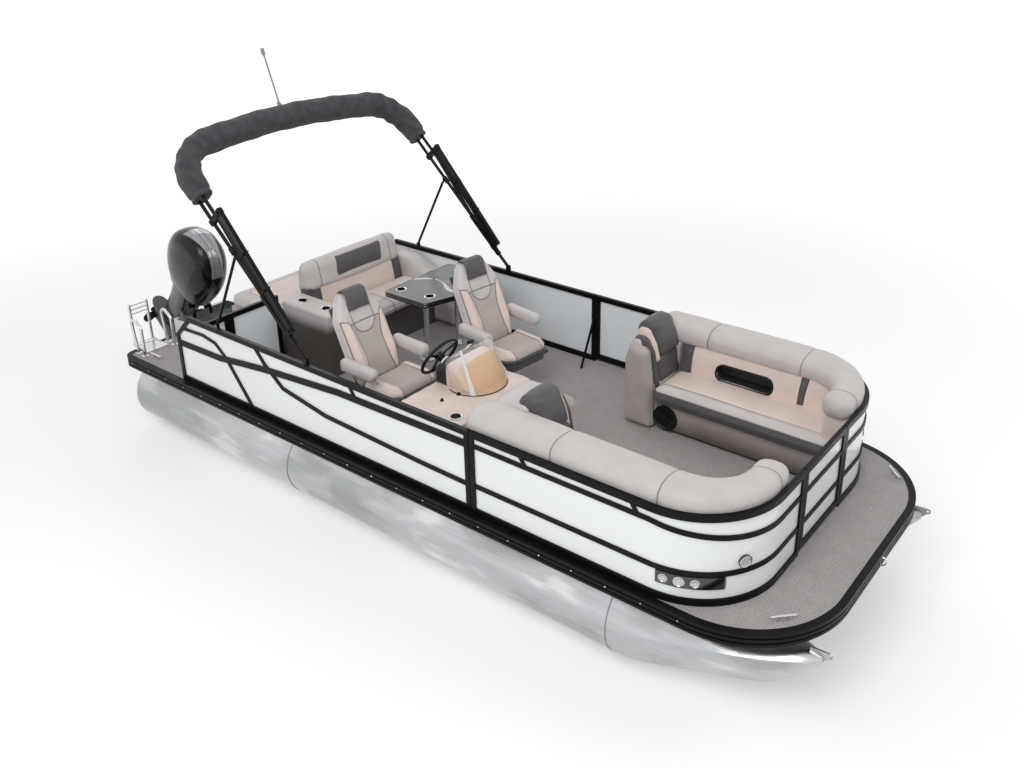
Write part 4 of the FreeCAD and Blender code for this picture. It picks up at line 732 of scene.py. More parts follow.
@dataclass
class Stuffing:
    """Fills padded pieces by a short cloth simulation under pressure, all of them together. Sizes in metres."""

    frames: int = 20
    pressure: float = 4.0
    quality: int = 4
    growth: float = -0.012
    finest: float = 0.005
    coarsest: float = 0.020
    most_points: int = 3200
    cap: float = 0.007
    cap_shares: tuple[float, float] = (0.6, 0.5)
    start_inset: float = 0.002
    neighbours: int = 5
    blur: float = 0.002
    pieces: list[tuple[bpy.types.Object, float]] = field(default_factory=list)

    @staticmethod
    def _rows(mesh: bpy.types.Mesh, of_normals: bool = False) -> np.ndarray:
        """Reads the mesh's points, or its points' normals, as rows.

        Args:
            mesh: The mesh.
            of_normals: Whether to read the normals.

        Returns:
            An array of (x, y, z) rows.
        """
        flat = np.empty(len(mesh.vertices) * 3)
        source, key = (mesh.vertex_normals, "vector") if of_normals else (mesh.vertices, "co")
        source.foreach_get(key, flat)
        return flat.reshape(-1, 3)

    def _shell(self, piece: bpy.types.Object) -> tuple[bpy.types.Object, np.ndarray]:
        """Makes an even copy of a piece, drawn in a little, with cloth on it.

        Args:
            piece: The padded piece.

        Returns:
            The copy and where its points start before they are drawn in.
        """
        area = sum(face.area for face in piece.data.polygons)
        copy = link(bpy.data.objects.new("stuffing", piece.data.copy()))
        remesh = copy.modifiers.new("even", "REMESH")
        remesh.mode = "VOXEL"
        remesh.voxel_size = min(self.coarsest, max(self.finest, math.sqrt(area / self.most_points)))
        even = plain_mesh(copy)
        copy.data = even
        start = self._rows(even)
        even.vertices.foreach_set("co", (start - self._rows(even, True) * self.start_inset).ravel())
        even.update()
        cloth = copy.modifiers.new("cloth", "CLOTH")
        cloth.settings.quality = self.quality
        cloth.settings.use_pressure = True
        cloth.settings.uniform_pressure_force = self.pressure
        cloth.settings.effector_weights.gravity = 0.0
        cloth.settings.shrink_min = self.growth
        cloth.collision_settings.use_collision = False
        cloth.point_cache.frame_start = 1
        cloth.point_cache.frame_end = self.frames
        return copy, start

    def _follow(self, piece: bpy.types.Object, fill: float, start: np.ndarray, end: np.ndarray) -> None:
        """Moves a piece's own points by what its shell shows, within the cap.

        Args:
            piece: The padded piece.
            fill: How tight it is.
            start: The shell's points before the simulation.
            end: The same points after it.
        """
        moves = np.nan_to_num(end - start if len(end) == len(start) else np.zeros_like(start))
        length = np.linalg.norm(moves, axis=1, keepdims=True)
        cap = self.cap * (self.cap_shares[0] + self.cap_shares[1] * fill)
        moves *= cap * np.tanh(length / cap) / np.maximum(length, TINY)
        tree = KDTree(len(start))
        for i, point in enumerate(start):
            tree.insert(point, i)
        tree.balance()
        points = self._rows(piece.data)
        for i, point in enumerate(points):
            near = tree.find_n(point, self.neighbours)
            weights = np.array([1.0 / (gap + self.blur) ** 2 for _, _, gap in near])
            points[i] += (moves[[k for _, k, _ in near]] * weights[:, None]).sum(axis=0) / weights.sum()
        piece.data.vertices.foreach_set("co", points.ravel())
        piece.data.update()
        largest = float(np.linalg.norm(moves, axis=1).max())
        LOG.info("%s filled, largest move %.1f mm", piece.name, largest * 1000)

    def run(self) -> None:
        if not self.pieces:
            return
        shells = [self._shell(piece) for piece, _ in self.pieces]
        scene = bpy.context.scene
        for number in range(1, self.frames + 1):
            scene.frame_set(number)
        depsgraph = bpy.context.evaluated_depsgraph_get()
        for (piece, fill), (copy, start) in zip(self.pieces, shells):
            self._follow(piece, fill, start, self._rows(copy.evaluated_get(depsgraph).data))
        scene.frame_set(1)
        for copy, _ in shells:
            mesh = copy.data
            bpy.data.objects.remove(copy)
            bpy.data.meshes.remove(mesh)


STUFFING = Stuffing()


def fit(
    obj: bpy.types.Object, body: str, slot: str, stands_for: Sequence[str] = (), fill: float | None = None
) -> None:
    """Declares a piece: attaches it to what it rides on, logs its material slot, hides what it replaces, and queues
    it for stuffing if it is padded.

    Args:
        obj: The piece.
        body: The CAD body it moves with.
        slot: The record's material slot.
        stands_for: CAD nodes that it replaces.
        fill: How tight its padding is, or None for a hard piece.
    """
    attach(obj, body)
    if stands_for:
        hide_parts(*stands_for)
    if fill is not None:
        STUFFING.pieces.append((obj, fill))
    LOG.info("%s rides on %s, slot %s, %d faces", obj.name, body, slot, len(obj.data.polygons))


def run_lengths(points: np.ndarray) -> np.ndarray:
    """Measures how far along a line each of its points lies."""
    return np.concatenate([[0], np.cumsum(np.linalg.norm(np.diff(points, axis=0), axis=1))])


def sample(line: np.ndarray, where: np.ndarray) -> np.ndarray:
    """Finds the places on a line at given distances from its start."""
    lengths = run_lengths(line)
    return np.stack([np.interp(where, lengths, line[:, k]) for k in range(line.shape[1])], 1)


def rounded_outline(points: Sequence[Sequence[float]], radii: Sequence[float], step: float = 0.012) -> np.ndarray:
    """Rounds the corners of a convex outline and fills it with evenly spaced points.

    Args:
        points: The corners, counter-clockwise.
        radii: Each corner's radius.
        step: The spacing.

    Returns:
        The outline's points.
    """
    corners = [Vector(p) for p in points]
    dense: list[Vector] = []
    for i, corner in enumerate(corners):
        before = (corners[i - 1] - corner).normalized()
        after = (corners[(i + 1) % len(corners)] - corner).normalized()
        half = before.angle(after) / 2
        centre = corner + (before + after).normalized() * (radii[i] / math.sin(half))
        reach = radii[i] / math.tan(half)
        start, end = corner + before * reach - centre, corner + after * reach - centre
        turns = max(3, int((math.pi - 2 * half) * radii[i] / step))
        angle = -start.angle_signed(end) if start.length > TINY else 0.0
        for k in range(turns + 1):
            c, s = math.cos(angle * k / turns), math.sin(angle * k / turns)
            dense.append(centre + Vector((start.x * c - start.y * s, start.x * s + start.y * c)))
    closed = np.array([list(p) for p in dense + dense[:1]])
    around = run_lengths(closed)[-1]
    return sample(closed, np.linspace(0, around, max(24, int(around / step)), endpoint=False))


def clustered(count: int, edge: float) -> np.ndarray:
    """Spaces shares from 0 to 1 so that they crowd near both ends.

    Args:
        count: How many shares lie between the two edges.
        edge: The share that each edge takes.

    Returns:
        The shares.
    """
    rim = np.array([0.0, 0.15, 0.4, 0.7]) * edge
    middle = np.linspace(edge, 1 - edge, count)
    return np.concatenate([rim, middle, 1 - rim[::-1]])


@dataclass
class Pad:
    """A stuffed or moulded form: an outline carried up, with round edges, a crown and sides that swell."""

    outline: np.ndarray
    place: Axes
    low: float
    high: float
    edge: float = 0.03
    crown: float = 0.012
    swell: float = 0.006
    foot_edge: float = 0.012
    fineness: float = 0.03
    relief: Callable[[np.ndarray, np.ndarray], np.ndarray] | None = None

    def _sides(self) -> list[np.ndarray]:
        """Splits the outline at its four extreme corners.

        Returns:
            Four runs of points, counter-clockwise from the lower left.
        """
        centred = self.outline - (self.outline.min(0) + self.outline.max(0)) / 2
        centred = centred / np.ptp(self.outline, axis=0)
        marks = [int(np.argmax(centred @ np.array(d))) for d in ((-1, -1), (1, -1), (1, 1), (-1, 1))]
        count = len(self.outline)
        runs = []
        for first, last in zip(marks, marks[1:] + marks[:1]):
            stretch = [(first + k) % count for k in range((last - first) % count + 1)]
            runs.append(self.outline[stretch])
        return runs

    @staticmethod
    def _spread(run: np.ndarray, shares: np.ndarray) -> np.ndarray:
        """Places points along a run by share of its length."""
        return sample(run, shares * run_lengths(run)[-1])

    def _plan(self) -> np.ndarray:
        """Fills the outline with a grid that follows its four sides.

        Returns:
            An array of (rows, columns, 2).
        """
        bottom, right, top, left = self._sides()
        size = np.ptp(self.outline, axis=0)
        across = clustered(max(4, int(size[0] / self.fineness)), min(0.3, self.edge / size[0]))
        along = clustered(max(4, int(size[1] / self.fineness)), min(0.3, self.edge / size[1]))
        low, high = self._spread(bottom, across), self._spread(top[::-1], across)
        near, far = self._spread(left[::-1], along), self._spread(right, along)
        s, t = across[None, :, None], along[:, None, None]
        patch = (1 - t) * low[None] + t * high[None] + (1 - s) * near[:, None] + s * far[:, None]
        corners = (1 - s) * (1 - t) * low[0] + s * (1 - t) * low[-1] + (1 - s) * t * high[0] + s * t * high[-1]
        return patch - corners

    def build(self, form: Form) -> Form:
        """Adds the pad to a form.

        Args:
            form: The form to add to.

        Returns:
            That form.
        """
        plan = self._plan()
        rows, columns = plan.shape[:2]
        flat = plan.reshape(-1, 2)
        inset = np.linalg.norm(flat[:, None, :] - self.outline[None], axis=2).min(1)
        ring = border(rows, columns)
        inset[ring] = 0.0

        def rounding(radius: float) -> np.ndarray:
            """Tells how far the round edge drops below the flat."""
            short = np.clip(radius - inset, 0, radius)
            return radius - np.sqrt(np.maximum(radius**2 - short**2, 0))

        top = self.high - rounding(self.edge) + self.crown * (1 - (1 - inset / inset.max()) ** 2)
        if self.relief is not None:
            top = top + self.relief(flat[:, 0], flat[:, 1]) * np.clip(inset / (self.edge * 1.5), 0, 1)
        under = self.low + rounding(self.foot_edge)
        edge = flat[ring]
        run = np.roll(edge, -1, 0) - np.roll(edge, 1, 0)
        normal = np.stack([run[:, 1], -run[:, 0]], 1)
        normal /= np.maximum(np.linalg.norm(normal, axis=1, keepdims=True), TINY)
        low_z, high_z = self.low + self.foot_edge, self.high - self.edge
        local = [np.column_stack([flat, top]), np.column_stack([flat, under])]
        for share in np.arange(1, WALL_LEVELS) / WALL_LEVELS:
            out = self.swell * math.sin(math.pi * share)
            z = np.full(len(edge), low_z + (high_z - low_z) * share)
            local.append(np.column_stack([edge + normal * out, z]))
        size, around = rows * columns, len(ring)
        faces = sheets(rows, columns)
        loops = [[size + i for i in ring]]
        loops += [[2 * size + k * around + i for i in range(around)] for k in range(WALL_LEVELS - 1)]
        loops.append(ring)
        for lower, upper in zip(loops, loops[1:]):
            for i in range(around):
                j = (i + 1) % around
                faces.append((lower[i], lower[j], upper[j], upper[i]))
        stacked = np.vstack(local)
        return form.add(self.place.to_world(stacked), faces, stacked)

    def make(self, name: str, finish: Finish) -> bpy.types.Object:
        """Makes the pad's object with its name and finish."""
        return self.build(Form()).make(name, finish)


def border(rows: int, columns: int) -> list[int]:
    """Lists the points round a grid's edge, counter-clockwise.

    Args:
        rows: How many rows the grid has.
        columns: How many points a row has.

    Returns:
        The points' indices.
    """
    ring = list(range(columns - 1)) + [r * columns + columns - 1 for r in range(rows - 1)]
    ring += [(rows - 1) * columns + c for c in range(columns - 1, 0, -1)]
    return ring + [r * columns for r in range(rows - 1, 0, -1)]


def sheets(rows: int, columns: int) -> list[tuple[int, ...]]:
    """Lists the faces of two equal grids of points, the second facing the other way.

    Args:
        rows: How many rows the grid has.
        columns: How many points a row has.

    Returns:
        The faces.
    """
    size = rows * columns
    faces: list[tuple[int, ...]] = []
    for r in range(rows - 1):
        for c in range(columns - 1):
            a, b = r * columns + c, (r + 1) * columns + c
            faces.append((a, a + 1, b + 1, b))
            faces.append((size + b, size + b + 1, size + a + 1, size + a))
    return faces


def rings_joined(rings: int, count: int, closed: bool = False) -> list[tuple[int, ...]]:
    """Lists the faces between rings of points, and the caps unless the last ring joins the first.

    Args:
        rings: How many rings there are.
        count: How many points each has.
        closed: Whether they run back to the start.

    Returns:
        The faces.
    """
    faces: list[tuple[int, ...]] = []
    for i in range(rings if closed else rings - 1):
        here, there = i * count, (i + 1) % rings * count
        for k in range(count):
            m = (k + 1) % count
            faces.append((here + k, here + m, there + m, there + k))
    if not closed:
        faces.append(tuple(reversed(range(count))))
        faces.append(tuple((rings - 1) * count + k for k in range(count)))
    return faces


def circle(sides: int) -> list[tuple[float, float]]:
    """Lists the cosine and sine of equal turns."""
    turns = [2 * math.pi * k / sides for k in range(sides)]
    return [(math.cos(turn), math.sin(turn)) for turn in turns]


def tube(
    form: Form, path: Sequence[Vector], radius: float | Sequence[float], sides: int = 12, closed: bool = False
) -> Form:
    """Adds a round tube along a path.

    Args:
        form: The form to add to.
        path: Its centre line.
        radius: Its radius, or one for each point.
        sides: How many sides its section has.
        closed: Whether the path runs back to its start.

    Returns:
        The form.
    """
    points = [Vector(p) for p in path]
    count = len(points)
    radii = [radius] * count if isinstance(radius, (int, float)) else list(radius)
    side = None
    rings = []
    for i, point in enumerate(points):
        after = points[(i + 1) % count] if closed or i + 1 < count else point
        before = points[i - 1] if closed or i else point
        way = (after - before).normalized()
        if side is None:
            side = way.orthogonal().normalized()
        side = (side - way * side.dot(way)).normalized()
        up = way.cross(side)
        rings.extend(point + (side * c + up * s) * radii[i] for c, s in circle(sides))
    return form.add(np.array([list(p) for p in rings]), rings_joined(count, sides, closed))


def lathe(form: Form, place: Axes, profile: Sequence[tuple[float, float]], sides: int = 32) -> Form:
    """Adds a turned form."""
    local = np.array([(radius * c, radius * s, height) for radius, height in profile for c, s in circle(sides)])
    return form.add(place.to_world(local), rings_joined(len(profile), sides), local)


def skin(form: Form, sections: Sequence[np.ndarray], local: Sequence[np.ndarray] | None = None) -> Form:
    """Adds a closed skin through equal rings of points, capped at both ends."""
    faces = rings_joined(len(sections), len(sections[0]))
    return form.add(np.vstack(sections), faces, None if local is None else np.vstack(local))


def bell(values: np.ndarray | float, middle: float, width: float) -> np.ndarray | float:
    """Gives a bell curve's height, one at its middle."""
    return np.exp(-(((values - middle) / width) ** 2))


def upright(site: Vector) -> Axes:
    """Makes a frame on the deck: u forward, v to port and w up."""
    return axes(site, (1, 0, 0), (0, 0, 1))


def side_on(middle: float) -> Axes:
    """Makes a frame seen from the side: u forward, v up and w to starboard of a line along the boat."""
    return axes(SITE.at(0, middle, 0), (1, 0, 0), (0, -1, 0))


def side_pad(
    corners: Profile, radii: Sequence[float], step: float, middle: float, half: float, edge: float,
    crown: float, swell: float, fineness: float,
) -> "Pad":
    """Makes a pad from its side view."""
    outline = rounded_outline(corners, radii, step)
    return Pad(outline, side_on(middle), -half, half, edge, crown, swell, edge, fineness)


def rectangle(low: Sequence[float], high: Sequence[float], radii: Sequence[float], step: float) -> np.ndarray:
    """Makes a rounded rectangle."""
    corners = [(low[0], low[1]), (high[0], low[1]), (high[0], high[1]), (low[0], high[1])]
    return rounded_outline(corners, radii, step)


@dataclass(frozen=True)
class Cockpit:
    """Places of the seating, in metres from the deck's rear edge, the centre line and the deck."""

    fence_in: float = 1.2111
    fence_out: float = 1.2434
    fence_front: float = 6.315
    corner: float = 0.600
    lounge_aft: float = 4.700
    lounge_inner: float = 0.450
    seat_low: float = 0.255
    seat_high: float = 0.398
    roll_low: float = 0.585
    roll_high: float = 0.765
    back_starboard: float = 4.156
    back_port: float = 4.405
    bench_aft: float = 1.240
    bench_front: float = 1.910
    bench_starboard: float = -0.190
    bench_port: float = 0.985
    bench_back: float = 0.860


PLAN = Cockpit()


@dataclass(frozen=True)
class Hull:
    """Tubes, deck, rub rail, fences and what is fastened to them, in metres."""

    tube_radius: float = 0.3178
    tube_y: float = 0.905
    tube_rise: float = 0.3295
    weld_stations: tuple[float, ...] = (2.2, 5.4)
    weld_bead: float = 0.005
    strip_lamps: tuple[tuple[float, float], ...] = ((5.865, 0.030), (5.965, 0.036), (6.060, 0.030))
    strip_level: float = 0.168
    round_lamp: tuple[float, float, float] = (6.222, 0.949, 0.300)
    reach: float = 0.9

    def dress(self) -> None:
        """Gives the hull's CAD nodes their finishes and adds its small pieces."""
        frames = [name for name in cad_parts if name.startswith("fence_frame") or name.endswith("gate_frame")]
        gates = ["front_gate_panel", "side_gate_panel", "rear_gate_panel"]
        finishes: tuple[tuple[Finish, Sequence[str]], ...] = (
            (Aluminium("hull_aluminium"), ["pontoon_starboard", "pontoon_port", "cross_members", "motor_pod"]),
            (Decking("decking"), ["deck"]),
            (Coat("rub_rail", Palette.SATIN_BLACK, 0.38), ["rub_rail"]),
            (FenceSkin("fence_skin"), ["fence_panels", *gates]),
            (Coat("lamp_housing", Palette.SATIN_BLACK, 0.12, gloss=1.0), ["docking_lights"]),
            (STAINLESS, ["deck_fittings", "ladder_handrails", "ladder_steps"]),
            (Bright("satin_steel", Palette.STEEL, 0.22), ["table_legs", "seat_pedestals"]),
            (FENCE_BLACK, frames),
        )
        for finish, names in finishes:
            for name in names:
                repaint(name, finish)
        self._welds()
        self._lamps()

    def _welds(self) -> None:
        """Adds the weld beads round both tubes."""
        form = Form()
        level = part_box("pontoon_starboard")[0].z + self.tube_rise
        for side in SIDES:
            for x in self.weld_stations:
                centre = Vector((SITE.rear + x, side * self.tube_y, level))
                ring = [centre + Vector((0, c, s)) * self.tube_radius for c, s in circle(48)]
                tube(form, ring, self.weld_bead, 8, closed=True)
        fit(form.make("tube_welds", Coat("weld_grey", Palette.SILVER, 0.45, metal=1.0)), "root", "hull_aluminium")

    def _lamps(self) -> None:
        """Adds the lamps' bright bezels and lenses on the forward corners."""
        bezels, lenses = Form(), Form()
        surface = surface_of("docking_lights")

        def lamp(start: Vector, way: Vector, bezel: Profile, lens: Profile, sides: int) -> None:
            """Sets a bezel and a lens where a ray meets the lamps' housing.

            Args:
                start: Where the ray starts.
                way: The ray's direction.
                bezel: The bezel's profile.
                lens: The lens's profile.
                sides: How many sides they have.
            """
            place, normal, _, _ = surface.ray_cast(start, way.normalized(), self.reach)
            if place is None:
                LOG.warning("a lamp finds no face")
                return
            face = axes(place, (0, 0, 1), normal)
            lathe(bezels, face, bezel, sides)
            lathe(lenses, face, lens, 28)

        x, y, level = self.round_lamp
        for side in SIDES:
            for station, size in self.strip_lamps:
                bezel = [(size, -0.002), (size, 0.003), (size * 0.88, 0.004), (size * 0.82, 0.0015)]
                lens = [(size * 0.86, 0.0), (size * 0.70, 0.0045), (size * 0.35, 0.0065), (0.001, 0.007)]
                lamp(SITE.at(station, side * 1.6, self.strip_level), Vector((-0.12, -side, 0)), bezel, lens, 28)
            bezel = [(0.040, -0.003), (0.040, 0.003), (0.036, 0.006), (0.031, 0.003), (0.030, 0.0)]
            lens = [(0.030, 0.001), (0.022, 0.005), (0.010, 0.0065), (0.001, 0.007)]
            start = SITE.at(6.50, side * 1.25, level)
            lamp(start, SITE.at(x, side * y, level) - start, bezel, lens, 36)
        fit(bezels.make("lamp_bezels", STAINLESS), "root", "stainless")
        fit(lenses.make("lamp_lenses", Acrylic("lamp_clear", Palette.LENS, 0.7)), "root", "lamp_clear")


def surface_of(node: str) -> BVHTree:
    """Gives a CAD node's surface, ready for rays."""
    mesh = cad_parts[node].data
    return BVHTree.FromPolygons([v.co.copy() for v in mesh.vertices], [tuple(p.vertices) for p in mesh.polygons])


def repaint(node: str, finish: Finish) -> None:
    """Gives a CAD node a finish.

    Args:
        node: The CAD node's name.
        finish: What it is dressed in.
    """
    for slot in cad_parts[node].material_slots:
        slot.link = "OBJECT"
        slot.material = finish.material()
    LOG.info("%s is finished in %s", node, finish.name)


@dataclass(frozen=True)
class Lounges:
    """The two front lounges, mirror twins but for the length of their aft backrests, in metres."""

    base_inset: float = 0.036
    base_recess: float = 0.062
    plinth_inset: float = 0.045
    plinth_recess: float = 0.095
    speaker_x: float = 4.80
    speaker_level: float = 0.128
    seat_inset: float = 0.068
    rolled_edge: float = 0.112
    front_band: float = 0.036
    roll_reach: tuple[float, float] = (0.335, 0.225)
    roll_seams: tuple[float, ...] = (4.92, 5.72, 6.62)
    wall_reach: tuple[float, float] = (0.378, 0.213)
    wall_lean: float = 0.13
    strips: tuple[float, ...] = (0.055, 1.150)
    strip_half: float = 0.062
    tray_x: float = 5.29
    tray_level: float = 0.474
    tray_half: tuple[float, float] = (0.245, 0.062)
    tray_corner: float = 0.055

    def dress(self) -> None:
        """Builds both lounges."""
        for side, sign, back in (("starboard", -1, PLAN.back_starboard), ("port", 1, PLAN.back_port)):
            self._base(side, sign)
            self._seat(side, sign)
            self._wall(side, sign)
            self._roll(side, sign, back)
            self._backrest(side, sign, back)

    def _outline(self, sign: int, inset: float, inner: float) -> np.ndarray:
        """Draws the lounge's plan with its one large round corner.

        Args:
            sign: Minus for starboard, plus for port.
            inset: Metres in from the fence's outer face.
            inner: The inner side's distance from the centre line.

        Returns:
            The outline in (x, y), counter-clockwise.
        """
        x0, x1 = PLAN.lounge_aft, PLAN.fence_front - inset
        outer = PLAN.fence_out - inset
        corners = [(x0, inner), (x1, inner), (x1, outer), (x0, outer)]
        radii = [0.045, 0.045, PLAN.corner - inset, 0.02]
        if sign < 0:
            corners = [(x, -y) for x, y in reversed(corners)]
            radii = radii[::-1]
        return rounded_outline(corners, radii, 0.02)

    def _base(self, side: str, sign: int) -> None:
        """Builds the moulded base over its recessed black plinth, with the speaker in its side.

        Args:
            side: The side's name.
            sign: 1 to port, -1 to starboard.
        """
        place = upright(SITE.at(0, 0, 0))
        outline = self._outline(sign, self.base_inset, PLAN.lounge_inner + self.base_recess)
        body = ShadedBody("lounge_base", Palette.TAUPE, Palette.UMBER, SITE.deck + 0.02, SITE.deck + 0.30)
        pad = Pad(outline, place, 0.030, PLAN.seat_low, 0.012, 0.0, 0.0, 0.02, 0.06)
        fit(pad.make("lounge_base_body_" + side, body), "root", "moulding_dark", ["lounge_base_" + side])
        outline = self._outline(sign, self.plinth_inset, PLAN.lounge_inner + self.plinth_recess)
        plinth = Pad(outline, place, 0.002, 0.05, 0.004, 0.0, 0.0, 0.002, 0.08)
        fit(plinth.make("lounge_plinth_" + side, TRAY_BLACK), "root", "moulding_dark")
        centre = SITE.at(self.speaker_x, sign * (PLAN.lounge_inner + self.base_recess), self.speaker_level)
        speaker(centre, Vector((0, -sign, 0)), "lounge_speaker_" + side)

    def _seat(self, side: str, sign: int) -> None:
        """Builds the seat cushion: charcoal front, rolled greige edge, blush top.

        Args:
            side: The side's name.
            sign: 1 to port, -1 to starboard.
        """
        inner = PLAN.lounge_inner
        fold = inner + self.rolled_edge
        zones = (
            Zone(Palette.BLUSH, lambda g: g.minus(g.times(g.local("v"), float(sign)), fold)),
            Zone(Palette.CHARCOAL, lambda g: g.minus(PLAN.seat_high - self.front_band, g.local("w"))),
        )

        def relief(u: np.ndarray, v: np.ndarray) -> np.ndarray:
            """Shapes a sunk seam behind the rolled edge and the give of the long top.

            Args:
                u: The points' first pad coordinate.
                v: The points' second pad coordinate.

            Returns:
                How far each point rises.
            """
            seam = -0.007 * bell(np.abs(v), fold, 0.011)
            roll = 0.008 * bell(np.abs(v), inner + 0.055, 0.04)
            return seam + roll + 0.0022 * np.sin(u * 9.0 + 2.0 * sign) * np.sin(v * 7.0)

        outline = self._outline(sign, self.seat_inset, inner)
        low, high = PLAN.seat_low + 0.002, PLAN.seat_high - 0.008
        pad = Pad(outline, upright(SITE.at(0, 0, 0)), low, high, 0.048, 0.014, 0.012, 0.03, 0.022, relief)
        piece = pad.make("lounge_seat_pad_" + side, Vinyl("lounge_seat_vinyl_" + side, Palette.GREIGE, zones))
        fit(piece, "root", "vinyl_greige", ["lounge_seat_" + side], 0.7)

    def _fence_path(self, sign: int, start: float, end: float, step: float) -> tuple[list, list, list, list]:
        """Follows the fence's inner face and measures the distance run at each point.

        Args:
            sign: Minus for starboard, plus for port.
            start: Where it starts, forward of the deck's rear edge.
            end: Where it ends, from the centre line.
            step: Its spacing.

        Returns:
            Places on the deck, outward directions, distances run, and how far round the corner each is from 0 to 1.
        """
        radius = PLAN.corner - PLAN.fence_out + PLAN.fence_in
        centre = (PLAN.fence_front - PLAN.corner, PLAN.fence_out - PLAN.corner)
        straight = centre[0] - start
        arc = math.pi / 2 * radius
        total = straight + arc + centre[1] - end
        count = max(2, int(total / step))
        places, ways, runs, turned_by = [], [], [], []
        for i in range(count + 1):
            run = total * i / count
            turn = min(max((run - straight) / arc, 0.0), 1.0) * math.pi / 2
            way = (math.sin(turn), math.cos(turn))
            x = centre[0] + radius * way[0] + min(0.0, run - straight)
            y = centre[1] + radius * way[1] - max(0.0, run - straight - arc)
            places.append(SITE.at(x, sign * y, 0.0))
            ways.append(Vector((way[0], sign * way[1], 0)))
            runs.append(run)
            turned_by.append(turn / (math.pi / 2))
        return places, ways, runs, turned_by

    def _swept(
        self,
        name: str,
        sign: int,
        finish: Finish,
        path: tuple[float, float, float],
        reach: tuple[float, float],
        levels: tuple[float, float],
        section: np.ndarray,
        taper: float,
        seams: Sequence[float] = (),
        relief: Callable[[float, float], float] | None = None,
    ) -> bpy.types.Object:
        """Sweeps an upholstered section along the fence, pinched at its seams and closed round at both ends.

        Args:
            name: The piece's name.
            sign: Minus for starboard, plus for port.
            finish: Its finish.
            path: Where it starts, where it ends and its spacing.
            reach: How far in it comes from the fence at the side and across the front.
            levels: Its lowest and highest height above the deck.
            section: Its (inward, up) points as shares of reach and height.
            taper: Over how much of each end it rounds off.
            seams: Distances run at which a seam pulls it in.
            relief: How far the face is pushed outward, from the distance run and the height.

        Returns:
            The object.
        """
        places, ways, runs, turned_by = self._fence_path(sign, *path)
        total = runs[-1]
        tall = levels[1] - levels[0]
        around = run_lengths(section * np.array([reach[0], tall]))
        middle = np.array([0.5, 0.5])
        rings, local = [], []
        for place, way, run, share in zip(places, ways, runs, turned_by):
            pinch = 0.05 * sum(bell(run, s, 0.018) for s in seams)
            puff = 0.012 * min([1.0] + [abs(run - s) / 0.15 for s in seams])
            size = 1.0 - pinch + puff
            for gap in (run, total - run):
                if gap < taper:
                    size *= math.sqrt(max(0.0, 1 - (1 - gap / taper) ** 2)) * 0.90 + 0.10
            shaped = middle + (section - middle) * size
            depth = reach[0] + (reach[1] - reach[0]) * share * share * (3 - 2 * share)
            ring = []
            for inward, up in shaped:
                height = levels[0] + tall * up
                push = relief(run, height) * min(1.0, max(0.0, inward - 0.6) / 0.2) if relief else 0.0
                ring.append(list(place + way * float(push - depth * inward) + Vector((0, 0, height))))
            rings.append(np.array(ring))
            local.append(np.column_stack([np.full(len(section), run), around, levels[0] + tall * section[:, 1]]))
        return skin(Form(), rings, local).make(name, finish)

    def _roll(self, side: str, sign: int, aft: float) -> None:
        """Builds the thick roll over the rail with its ring seams.

        Args:
            side: The side's name.
            sign: 1 to port, -1 to starboard.
            aft: Where the backrest starts, from the deck's rear edge.
        """
        turns = np.linspace(0, 2 * math.pi, 44, endpoint=False)
        inward = 0.5 - 0.5 * np.sign(np.cos(turns)) * np.abs(np.cos(turns)) ** 0.62
        up = 0.5 + 0.5 * np.sign(np.sin(turns)) * np.abs(np.sin(turns)) ** 0.80
        section = np.column_stack([inward, up - 0.10 * up * np.clip(inward - 0.5, 0, 1)])
        seams = tuple(x - aft for x in self.roll_seams)

        def at_seam(g: Graph) -> Socket:
            """Measures how near the closest ring seam is.

            Args:
                g: The material's graph.

            Returns:
                The distance to it, below zero.
            """
            gap: object = 9.0
            for s in seams:
                gap = g.least(gap, g.absolute(g.minus(g.local("u"), s)))
            return g.minus(0.0, gap)

        finish = Vinyl("roll_vinyl_" + side, Palette.GREIGE, (Zone(Palette.TAUPE, at_seam),))
        path = (aft + 0.015, PLAN.lounge_inner + 0.004, 0.02)
        levels = (PLAN.roll_low, PLAN.roll_high)
        name = "lounge_roll_" + side
        roll = self._swept(name, sign, finish, path, self.roll_reach, levels, section, 0.085, seams)
        fit(roll, "root", "vinyl_greige", ["lounge_bolster_" + side], 0.8)

    def _wall(self, side: str, sign: int) -> None:
        """Builds the padded wall under the roll: blush with charcoal uprights and a recessed tray.

        Args:
            side: The side's name.
            sign: 1 to port, -1 to starboard.
        """
        low, high = PLAN.seat_high - 0.025, PLAN.roll_low + 0.03
        heights = np.linspace(0.0, 1.0, 22)
        face = np.column_stack([1.0 - self.wall_lean * heights**1.3, heights])
        section = np.vstack([face, [(0.03, 1.0), (0.03, 0.0)]])
        start = PLAN.lounge_aft + 0.006
        along, level = self.tray_x - start, self.tray_level
        half_along, half_up = self.tray_half

        def dent(run: float, height: float) -> float:
            """Shapes the tray's recess.

            Args:
                run: The distance along the wall.
                height: The height on the wall.

            Returns:
                How deep the wall is sunk there, in metres.
            """
            beside = max(0.0, abs(run - along) - half_along + 0.06)
            above = max(0.0, abs(height - level) - half_up + 0.06)
            return 0.10 * min(1.0, max(0.0, (0.06 - math.hypot(beside, above)) / 0.010))

        def uprights(g: Graph) -> Socket:
            """Measures how far inside a charcoal strip a point lies.

            Args:
                g: The material's graph.

            Returns:
                A socket that is positive inside.
            """
            best: object = -9.0
            for place in self.strips:
                best = g.most(best, g.minus(self.strip_half, g.absolute(g.minus(g.local("u"), place))))
            return best

